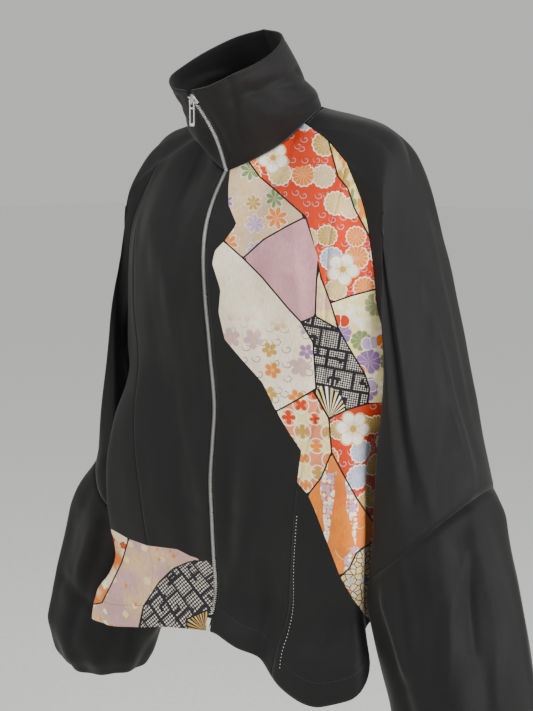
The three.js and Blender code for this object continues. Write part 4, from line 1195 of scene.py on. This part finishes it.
def right_patches(tree, place, spots):
    result = {}
    ground = mottled(tree, place, (0.74, 0.19, 0.02), (0.86, 0.74, 0.48), 30.0)
    result["poppy"] = strewn(tree, place, ground, [WHITE, MOSS, LEMON, RED], GOLD, 50, (5, 0.3, 0.6),
                             size=0.4, keep=0.5)
    cloudy = mottled(tree, place, (0.56, 0.34, 0.32), (0.68, 0.46, 0.26), 22.0)
    squares = strewn(tree, place, cloudy, [WHITE, LEMON, (0.8, 0.6, 0.4)], LEMON, 46, (4, 0.22, 1.0),
                     size=0.24, random=0.8, keep=0.45)
    result["mauve"] = strewn(tree, place, squares, [(0.3, 0.46, 0.14), ORANGE], PALE_GOLD, 60, (6, 0.5, 0.8),
                             size=0.22, random=0.9, keep=0.6)
    result["fret"] = fret(tree, place, 0.75, 300.0)
    result["fan"] = fan(tree, place, spots["fan"], [INK, PALE_GOLD, INK, GOLD], 14.0)
    return result


def printed_cloth(name, colours, names, build):
    """Black crepe with print patches, each kept inside its outline by a mesh attribute."""
    made, tree, shader = new_material(name)
    where = object_place(tree)
    across = vector(tree, "DOT_PRODUCT", where, (ACROSS_VIEW[0], ACROSS_VIEW[1], 0), out="Value")
    height = parted(tree, where)[2]
    place = node(tree, "ShaderNodeCombineXYZ", {"X": across, "Y": height}).outputs[0]
    patches = build(tree, place)
    colour = tuple(colours.crepe)
    for label in names:
        inside = node(tree, "ShaderNodeAttribute", attribute_name=f"patch_{label}").outputs["Fac"]
        colour = blend(tree, step(tree, inside, 0.7, 1.2), colour, patches[label])
    cloth_finish(tree, shader, colour, cloth_place(tree), roughness=0.62, sheen=0.06, strength=0.25)
    return made


def metal_material(colour):
    made, tree, shader = new_material("Zip metal")
    where = object_place(tree)
    rubbed = noise(tree, where, 260.0, 4.0)
    shade = blend(tree, step(tree, rubbed, 0.35, 0.65), scaled(colour, 0.62), tuple(colour))
    put(tree, shade, shader.inputs["Base Color"])
    put(tree, step(tree, rubbed, 0.3, 0.7, 0.42, 0.22), shader.inputs["Roughness"])
    shader.inputs["Metallic"].default_value = 1.0
    roughened(tree, shader, noise(tree, where, 2400.0, 2.0), 0.12, 0.0001)
    return made


def tape_material(colour):
    """Ribbed woven tape, ribs running along the zip."""
    made, tree, shader = new_material("Zip tape")
    place = cloth_place(tree)
    ribs = node(
        tree, "ShaderNodeTexWave", {"Vector": place, "Scale": 260.0, "Distortion": 0.4, "Detail": 1.0},
    ).outputs[1]
    weft = noise(tree, place, 900.0, 2.0)
    height = maths(tree, "ADD", maths(tree, "MULTIPLY", ribs, 0.7), maths(tree, "MULTIPLY", weft, 0.4))
    # Rib crests painted up to 2.4 times lighter than the grooves: painted light and shade on the ribs, over
    # the tape's own colour
    shade = blend(tree, step(tree, height, 0.3, 0.9), tuple(colour), scaled(colour, 2.4))
    put(tree, shade, shader.inputs["Base Color"])
    put(tree, step(tree, weft, 0.3, 0.7, 0.7, 0.9), shader.inputs["Roughness"])
    roughened(tree, shader, height, 0.5, 0.0004)
    return made


def thread_material(name, colour):
    made, tree, shader = new_material(name)
    twist = noise(tree, object_place(tree), 1800.0, 2.0)
    # Colour up to 1.6 times lighter where the twist relief stands highest: painted light on the raised twist
    shade = blend(tree, step(tree, twist, 0.35, 0.65), tuple(colour), scaled(colour, 1.6))
    put(tree, shade, shader.inputs["Base Color"])
    put(tree, step(tree, twist, 0.3, 0.7, 0.45, 0.65), shader.inputs["Roughness"])
    roughened(tree, shader, twist, 0.4, 0.0002)
    return made


# Mesh helpers


def finished(name, bm, materials):
    mesh = bpy.data.meshes.new(name)
    bm.to_mesh(mesh)
    bm.free()
    for material in materials:
        mesh.materials.append(material)
    piece = bpy.data.objects.new(name, mesh)
    bpy.context.scene.collection.objects.link(piece)
    return piece


def cloth_mesh(name, grid, closed, materials, fields=None):
    """Sheet whose grid of columns and rows follows a surface, with its own map in metres."""
    across = run_lengths(grid, 0)
    middle = across[:, across.shape[1] // 2][:, None] * np.ones((1, grid.shape[1]))
    up = run_lengths(grid, 1)
    if closed:
        width = middle[-1, 0] + np.linalg.norm(grid[0] - grid[-1], axis=-1).mean()
        grid = np.concatenate([grid, grid[:1]])
        middle = np.concatenate([middle, np.full((1, grid.shape[1]), width)])
        up = np.concatenate([up, up[:1]])
    columns, rows = grid.shape[:2]
    bm = bmesh.new()
    bmesh.ops.create_grid(bm, x_segments=columns - 1, y_segments=rows - 1, size=1)
    bm.verts.ensure_lookup_table()
    places = grid.transpose(1, 0, 2).reshape(-1, 3) * MM
    for vert, place in zip(bm.verts, places):
        vert.co = place
    bm.verts.index_update()
    layer = bm.loops.layers.uv.new("cloth")
    flat = np.stack([middle, up], -1).transpose(1, 0, 2).reshape(-1, 2) * MM
    for face in bm.faces:
        face.smooth = True
        for loop in face.loops:
            loop[layer].uv = flat[loop.vert.index]
    for label, values in (fields or {}).items():
        mark = bm.verts.layers.float.new(label)
        for vert, value in zip(bm.verts, values.T.reshape(-1)):
            vert[mark] = value
    if closed:
        bmesh.ops.remove_doubles(bm, verts=bm.verts, dist=1e-6)
    bmesh.ops.recalc_face_normals(bm, faces=bm.faces)
    centre = Vector(places.mean(axis=0)) if closed else Vector((0, BODY_CENTRE * MM, 0))
    outward = 0.0
    for face in bm.faces:
        offset = face.calc_center_median() - centre
        offset.z = 0
        outward += face.normal.dot(offset) * face.calc_area()
    if outward < 0:
        bmesh.ops.reverse_faces(bm, faces=bm.faces)
    return finished(name, bm, materials)


def add_wall(piece, thickness):
    wall = piece.modifiers.new("Wall", "SOLIDIFY")
    wall.thickness = thickness
    wall.offset = -1
    wall.use_even_offset = False
    wall.material_offset = 1


def grid_normals(grid, closed=False):
    """Outward directions of an open panel of the body."""
    across = np.gradient(grid, axis=0)
    up = np.gradient(grid, axis=1)
    normals = unit(np.cross(across, up))
    sign = np.sign((normals * radial(grid)).sum())
    return normals * sign


def along_line(points, normals, start, spacing):
    """Evenly spaced places along a line: point, direction and outward normal."""
    run = np.concatenate([[0], np.cumsum(np.linalg.norm(np.diff(points, axis=0), axis=1))])
    for stop in np.arange(start, run[-1] - start, spacing):
        here, ahead = (
            np.array([np.interp(at, run, points[:, k]) for k in range(3)]) for at in (stop, stop + 0.5)
        )
        normal = np.array([np.interp(stop, run, normals[:, k]) for k in range(3)])
        yield here, unit(ahead - here), unit(normal)


def stand_on(here, direction, normal, scale):
    """Placing matrix: local X along the line, local Z out of the cloth, sizes in metres."""
    side = np.cross(normal, direction)
    out = np.cross(direction, side)
    turn = Matrix([[direction[k], side[k], out[k]] for k in range(3)]).to_4x4()
    return Matrix.Translation(Vector(here * MM)) @ turn @ Matrix.Diagonal((*scale, 1))


# Half width and height of a thread in metres, and a stitch's lift and first place in millimetres
THREAD_SIZE = (0.00034, 0.00026)
STITCH_LIFT = 0.05
STITCH_START = 2.0


def stitch_line(name, points, normals, material, length, spacing):
    bm = bmesh.new()
    size = (length * 0.5, *THREAD_SIZE)
    lifted = points + normals * STITCH_LIFT
    for here, direction, normal in along_line(lifted, normals, STITCH_START, spacing / MM):
        place = stand_on(here, direction, normal, size)
        bmesh.ops.create_icosphere(bm, subdivisions=1, radius=1, matrix=place)
    for face in bm.faces:
        face.smooth = True
    bmesh.ops.recalc_face_normals(bm, faces=bm.faces)
    return finished(name, bm, [material])


def at_height(grid, height):
    """Line across a panel at a given length above its hem, with its outward directions."""
    up = run_lengths(grid, 1)
    normals = grid_normals(grid)
    points = []
    facing = []
    for column, run, normal in zip(grid, up, normals):
        points.append([np.interp(height, run, column[:, k]) for k in range(3)])
        facing.append([np.interp(height, run, normal[:, k]) for k in range(3)])
    return np.array(points), unit(np.array(facing))


def declare(piece, node_name, with_pieces=()):
    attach(piece, "garment")
    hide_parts(node_name)
    for extra in with_pieces:
        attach(extra, "garment")


PANELS = {}


def panel(name, builder, side, lines, sides):
    if name not in PANELS:
        PANELS[name] = shaped_body(builder(side), lines, sides)
    return PANELS[name]


def shared_material(name, build, colour):
    """Material that several steps use, built by the first of them."""
    return bpy.data.materials.get(name) or build(name, colour)


def crepe_material(colours):
    return shared_material("Black crepe", plain_cloth, colours.crepe)


def reverse_material(colours):
    return shared_material("Reverse of the cloth", plain_cloth, colours.lining)


def hem_thread(colours):
    return shared_material("Hem thread", thread_material, colours.thread)


def hemmed_panel(name, grid, cloth, colours, sizes, fields=None):
    """One panel of the body with its wall and its hem stitches, joined to the garment in place of its model
    part.
    """
    piece = cloth_mesh(f"cloth_{name}", grid, False, [cloth, reverse_material(colours)], fields)
    add_wall(piece, sizes.cloth)
    points, normals = at_height(grid, HEM_FOLD)
    thread = hem_thread(colours)
    hem = stitch_line(f"hem_stitches_{name}", points, normals, thread, sizes.stitch, sizes.stitch_step)
    declare(piece, name, [hem])


class JACKET_OT_fronts(Operator):
    """Build the four front panels, printed on the wearer's left and at the foot of the right"""

    bl_idname = "jacket.fronts"
    bl_label = "Front panels"
    bl_options = {"REGISTER", "UNDO"}

    def execute(self, context):
        sizes = context.scene.jacket_sizes
        colours = context.scene.jacket_colours
        centre_left = panel("front_left_centre", front_centre, 1, FRONT_LINES, (False, True))
        side_left = panel("front_left_side", front_side, 1, FRONT_LINES, (True, True))
        both = np.concatenate([centre_left, side_left])
        spots = {
            key: [(plane_place(x, y, both), r * BLOSSOM_SCALE * MM) for x, y, r in values]
            for key, values in BIG_BLOSSOMS.items()
        }
        spots["fan"] = plane_place(*FAN_LEFT, both)
        left_print = printed_cloth(
            "Printed crepe, left", colours, PATCHES_LEFT,
            lambda tree, place: left_patches(tree, place, colours, spots),
        )
        centre_right = panel("front_right_centre", front_centre, -1, FRONT_LINES, (False, True))
        panel("front_right_side", front_side, -1, FRONT_LINES, (True, True))
        spots_right = {"fan": plane_place(*FAN_RIGHT, centre_right)}
        right_print = printed_cloth(
            "Printed crepe, right", colours, PATCHES_RIGHT,
            lambda tree, place: right_patches(tree, place, spots_right),
        )
        for name, patches, cloth in (
            ("front_left_centre", PATCHES_LEFT, left_print),
            ("front_left_side", PATCHES_LEFT, left_print),
            ("front_right_centre", PATCHES_RIGHT, right_print),
            ("front_right_side", PATCHES_RIGHT, right_print),
        ):
            grid = PANELS[name]
            fields = patch_fields(grid, patches)
            hemmed_panel(name, grid, cloth, colours, sizes, fields)
        return {"FINISHED"}


class JACKET_OT_backs(Operator):
    """Build the two back panels"""

    bl_idname = "jacket.backs"
    bl_label = "Back panels"
    bl_options = {"REGISTER", "UNDO"}

    def execute(self, context):
        sizes = context.scene.jacket_sizes
        colours = context.scene.jacket_colours
        crepe = crepe_material(colours)
        for name, side in (("back_left", 1), ("back_right", -1)):
            grid = panel(name, back_half, side, [], (True, True))
            hemmed_panel(name, grid, crepe, colours, sizes)
        return {"FINISHED"}


class JACKET_OT_sleeves(Operator):
    """Build both raglan sleeves, each in an upper and a gathered lower part"""

    bl_idname = "jacket.sleeves"
    bl_label = "Sleeves"
    bl_options = {"REGISTER", "UNDO"}

    def execute(self, context):
        sizes = context.scene.jacket_sizes
        colours = context.scene.jacket_colours
        crepe = crepe_material(colours)
        reverse = reverse_material(colours)
        upper = upper_sleeve()
        lower = lower_sleeve(upper[:, -1])
        for label, lines in (("left", NEAR_SLEEVE_LINES), ("right", FAR_SLEEVE_LINES)):
            for part, grid in (("upper", upper), ("lower", lower)):
                grid = grid if label == "left" else mirrored(grid)
                grid = shaped_tube(grid, lines, (True, part == "upper"))
                name = f"sleeve_{label}_{part}"
                piece = cloth_mesh(f"cloth_{name}", grid, True, [crepe, reverse])
                add_wall(piece, sizes.cloth)
                declare(piece, name)
        return {"FINISHED"}


# Slack of the collar over the wearer's right collarbone: share round and up, spread of each, and height
COLLAR_SLACK = (0.89, 0.28, 0.07, 0.2, 6)


def collar_grid():
    half = collar_half()
    grid = np.concatenate([half, mirrored(half)[::-1][1:]])
    out = unit(grid - np.stack([0 * grid[..., 0], grid[..., 1].mean(0) + 0 * grid[..., 1], grid[..., 2]], -1))
    up = run_lengths(grid, 1)
    lift = (crease_lift(grid, out, COLLAR_LINES) + ripple(grid)) * ease(up / 15)
    lift = lift + seam_dip(grid, False, (True, False), (False, False))
    s = np.linspace(0, 1, grid.shape[0])[:, None]
    t = np.linspace(0, 1, grid.shape[1])[None, :]
    slack_s, slack_t, wide_s, wide_t, high = COLLAR_SLACK
    slack = np.exp(-(((s - slack_s) / wide_s) ** 2) - ((t - slack_t) / wide_t) ** 2)
    lift = lift + high * slack * ease(up / 12) * ease((1 - s) * 16)
    lift = lift - 0.6 * np.exp(-(((up[:, -1:] - up - 7) / 1.6) ** 2)) * ease(up / 15)
    return grid + out * lift[..., None]


class JACKET_OT_collar(Operator):
    """Build the tall collar"""

    bl_idname = "jacket.collar"
    bl_label = "Collar"
    bl_options = {"REGISTER", "UNDO"}

    def execute(self, context):
        sizes = context.scene.jacket_sizes
        colours = context.scene.jacket_colours
        crepe = crepe_material(colours)
        reverse = reverse_material(colours)
        piece = cloth_mesh("cloth_collar", collar_grid(), False, [crepe, reverse])
        add_wall(piece, sizes.collar)
        declare(piece, "collar")
        return {"FINISHED"}


CUFF_CENTRE = (301, -12)
CUFF_RADIUS = 40.3
CUFF_TOP = -740
CUFF_HEIGHT = 24
CUFF_ROWS = 12
RIB_DEPTH = 0.5


class JACKET_OT_cuffs(Operator):
    """Build the ribbed elastic cuffs inside the foot of each sleeve"""

    bl_idname = "jacket.cuffs"
    bl_label = "Elastic cuffs"
    bl_options = {"REGISTER", "UNDO"}

    def execute(self, context):
        sizes = context.scene.jacket_sizes
        colours = context.scene.jacket_colours
        elastic = plain_cloth("Elastic knit", colours.tape, roughness=0.75, sheen=0.2, strength=0.5)
        ribs = sizes.cuff_ribs
        turn = np.linspace(0, 2 * np.pi, ribs * 6 + 1)[:-1][:, None]
        t = np.linspace(0, 1, CUFF_ROWS + 1)[None, :]
        radius = CUFF_RADIUS - RIB_DEPTH + RIB_DEPTH * np.cos(turn * ribs) * ease(t * 8) * ease((1 - t) * 8)
        for label, side in (("left", 1), ("right", -1)):
            x = side * CUFF_CENTRE[0] + radius * np.cos(turn)
            y = CUFF_CENTRE[1] + radius * np.sin(turn)
            grid = np.stack([x, y, CUFF_TOP - CUFF_HEIGHT * t + 0 * x], -1)
            piece = cloth_mesh(f"ribbed_cuff_{label}", grid, True, [elastic, elastic])
            add_wall(piece, sizes.cuff)
            declare(piece, f"cuff_{label}")
        return {"FINISHED"}


TAPE_COLUMNS = 4
TAPE_DEPTH = 2
TAPE_THICK = 0.0007
TOOTH_SIZE = (0.00105, 0.0036, 0.0021)
TOOTH_ASIDE = 1.15


def centre_line():
    """Zip line from hem to collar top, with its outward directions."""
    collar = collar_grid()
    front = PANELS["front_left_centre"]
    points = np.concatenate([front[0], collar[0][1:]])
    points[:, 0] = 0
    steps = np.gradient(points, axis=0)
    normals = unit(np.cross((1, 0, 0), steps))
    return points, normals * -np.sign(normals[:, 1:2])


class JACKET_OT_zip(Operator):
    """Build the zip's teeth and tapes, and finish its box, slider, bail and pull"""

    bl_idname = "jacket.zip"
    bl_label = "Zip"
    bl_options = {"REGISTER", "UNDO"}

    def execute(self, context):
        sizes = context.scene.jacket_sizes
        colours = context.scene.jacket_colours
        metal = metal_material(colours.metal)
        points, normals = centre_line()
        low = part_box("zip_box")[1].z / MM
        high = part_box("zip_slider")[0].z / MM
        shown = (points[:, 2] > low) & (points[:, 2] < high)
        bm = bmesh.new()
        places = along_line(points[shown], normals[shown], 0.6, sizes.tooth_step / MM)
        for k, (here, direction, normal) in enumerate(places):
            side = 1 if k % 2 else -1
            here = here + np.array([side * TOOTH_ASIDE, 0, 0]) - normal * 0.1
            bmesh.ops.create_cube(bm, size=1, matrix=stand_on(here, direction, normal, TOOTH_SIZE))
        bmesh.ops.bevel(
            bm, geom=bm.edges[:], offset=0.0002, offset_type="OFFSET", segments=1, profile=0.5,
            affect="EDGES", material=-1,
        )
        bmesh.ops.recalc_face_normals(bm, faces=bm.faces)
        teeth = finished("zip_teeth", bm, [metal])
        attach(teeth, "garment")
        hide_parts("zip_chain")
        for name in ("zip_box", "zip_slider", "zip_bail", "zip_pull_tab"):
            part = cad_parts[name]
            if not part.material_slots:
                part.data.materials.append(metal)
            for slot in part.material_slots:
                slot.material = metal
        tape = tape_material(colours.tape)
        collar = collar_grid()
        for label, side in (("left", 1), ("right", -1)):
            front = PANELS[f"front_{label}_centre"][:TAPE_COLUMNS + 1]
            edge = (collar if side > 0 else collar[::-1])[:TAPE_COLUMNS + 1, 1:]
            grid = np.concatenate([front, edge], axis=1)
            grid = grid - grid_normals(grid) * TAPE_DEPTH
            inner = grid[:1].copy()
            inner[..., 0] = side * 0.3
            strip = np.concatenate([inner, grid])[:, 2:-2]
            piece = cloth_mesh(f"woven_tape_{label}", strip, False, [tape, tape])
            add_wall(piece, TAPE_THICK)
            declare(piece, f"zip_tape_{label}")
        return {"FINISHED"}


# Line of pick stitches beside the princess seam, in the photograph's pixels, and its step in millimetres
POCKET_LINE = [(298, 508), (295, 535), (292, 570), (290, 612), (286, 648), (284, 680)]
POCKET_STEP = 4
PICK_SIZE = (0.0006, 0.00042, 0.0003)


class JACKET_OT_pocket_stitches(Operator):
    """Build the row of pick stitches beside the left princess seam"""

    bl_idname = "jacket.pocket_stitches"
    bl_label = "Pocket stitches"
    bl_options = {"REGISTER", "UNDO"}

    def execute(self, context):
        colours = context.scene.jacket_colours
        white = thread_material("Pocket thread", colours.mark)
        grid = PANELS["front_left_side"]
        normals = grid_normals(grid)
        px, py, _ = photo_place(grid)
        places = []
        for x, y in POCKET_LINE:
            away = np.hypot(px - x, py - y)
            places.append(np.unravel_index(np.argmin(away), away.shape))
        columns, rows = np.array(places, float).T
        slope, offset = np.polyfit(rows, columns, 1)
        row = np.arange(int(rows.min()), int(rows.max()))
        column = np.clip(slope * row + offset, 1, len(grid) - 2)
        first = column.astype(int)
        share = (column - first)[:, None]
        line = mix(grid[first, row], grid[first + 1, row], share)
        facing = mix(normals[first, row], normals[first + 1, row], share)
        bm = bmesh.new()
        for here, direction, normal in along_line(line, facing, 0.5, POCKET_STEP):
            place = stand_on(here + normal * 0.1, direction, normal, PICK_SIZE)
            bmesh.ops.create_icosphere(bm, subdivisions=2, radius=1, matrix=place)
        for face in bm.faces:
            face.smooth = True
        bmesh.ops.recalc_face_normals(bm, faces=bm.faces)
        piece = finished("pocket_stitches", bm, [white])
        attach(piece, "garment")
        return {"FINISHED"}


CAMERA_PLACE = (1.1575, -1.2671, -0.0593)
CAMERA_DOWN = 8.04
CAMERA_TURN = 42.53
CAMERA_LENS = 70.5
SENSOR_WIDTH = 36
CLIP_RANGE = (0.05, 50)
FLOOR_HEIGHT = -1.35
FLOOR_SIZE = 30
FLOOR_PALER = 1.56
WINDOW_PLACE = (2.1, -0.05, 0.45)
WINDOW_SIZE = (1.5, 1.9)
WINDOW_POWER = 80
FILL_PLACE = (-0.7, -2.3, 0.9)
FILL_SIZE = 2.4
FILL_POWER = 44
SKY_STRENGTH = 0.95
JACKET_MIDDLE = (0, 0, -0.33)


def area_light(name, place, size, power):
    light = bpy.data.lights.new(name, "AREA")
    light.shape = "RECTANGLE"
    light.size, light.size_y = size
    light.energy = power
    lamp = bpy.data.objects.new(name, light)
    lamp.location = place
    lamp.rotation_euler = (Vector(JACKET_MIDDLE) - Vector(place)).to_track_quat("-Z", "Y").to_euler()
    bpy.context.scene.collection.objects.link(lamp)


class JACKET_OT_studio(Operator):
    """Build the pale floor, the soft light and the camera"""

    bl_idname = "jacket.studio"
    bl_label = "Studio"
    bl_options = {"REGISTER", "UNDO"}

    def execute(self, context):
        colour = tuple(context.scene.jacket_colours.studio)
        ground = scaled(colour, FLOOR_PALER)
        made, tree, shader = new_material("Pale floor")
        speck = step(tree, noise(tree, object_place(tree), 60.0, 5.0), 0.35, 0.65)
        put(tree, blend(tree, speck, scaled(ground, 0.95), ground), shader.inputs["Base Color"])
        shader.inputs["Roughness"].default_value = 0.9
        bm = bmesh.new()
        bmesh.ops.create_grid(
            bm, x_segments=8, y_segments=8, size=FLOOR_SIZE, matrix=Matrix.Translation((0, 0, FLOOR_HEIGHT)),
        )
        finished("studio_floor", bm, [made])
        world = bpy.data.worlds.new("Studio air")
        context.scene.world = world
        world.use_nodes = True
        air = world.node_tree.nodes["Background"]
        air.inputs["Color"].default_value = colour
        air.inputs["Strength"].default_value = SKY_STRENGTH
        area_light("Window", WINDOW_PLACE, WINDOW_SIZE, WINDOW_POWER)
        area_light("Fill", FILL_PLACE, (FILL_SIZE, FILL_SIZE), FILL_POWER)
        data = bpy.data.cameras.new("Camera")
        data.lens = CAMERA_LENS
        data.sensor_width = SENSOR_WIDTH
        data.clip_start, data.clip_end = CLIP_RANGE
        camera = bpy.data.objects.new("Camera", data)
        camera.location = CAMERA_PLACE
        camera.rotation_euler = Euler((math.radians(90 - CAMERA_DOWN), 0, math.radians(CAMERA_TURN)))
        context.scene.collection.objects.link(camera)
        context.scene.camera = camera
        return {"FINISHED"}


OPERATORS = (
    JACKET_OT_studio,
    JACKET_OT_fronts,
    JACKET_OT_backs,
    JACKET_OT_sleeves,
    JACKET_OT_collar,
    JACKET_OT_cuffs,
    JACKET_OT_zip,
    JACKET_OT_pocket_stitches,
)


class JACKET_PT_panel(Panel):
    """Sizes, colours and steps of the jacket"""

    bl_idname = "JACKET_PT_panel"
    bl_label = "Kimono jacket"
    bl_space_type = "VIEW_3D"
    bl_region_type = "UI"
    bl_category = "Jacket"

    def draw(self, context):
        layout = self.layout
        for group in (context.scene.jacket_sizes, context.scene.jacket_colours):
            for name in group.__annotations__:
                layout.prop(group, name)
        for operator in OPERATORS:
            layout.operator(operator.bl_idname)


CLASSES = (JacketSizes, JacketColours, *OPERATORS, JACKET_PT_panel)


def register():
    for cls in CLASSES:
        bpy.utils.register_class(cls)
    bpy.types.Scene.jacket_sizes = PointerProperty(type=JacketSizes)
    bpy.types.Scene.jacket_colours = PointerProperty(type=JacketColours)


def unregister():
    del bpy.types.Scene.jacket_colours
    del bpy.types.Scene.jacket_sizes
    for cls in reversed(CLASSES):
        bpy.utils.unregister_class(cls)


def main():
    register()
    for operator in OPERATORS:
        group, name = operator.bl_idname.split(".")
        getattr(getattr(bpy.ops, group), name)()


if __name__ == "__main__":
    main()
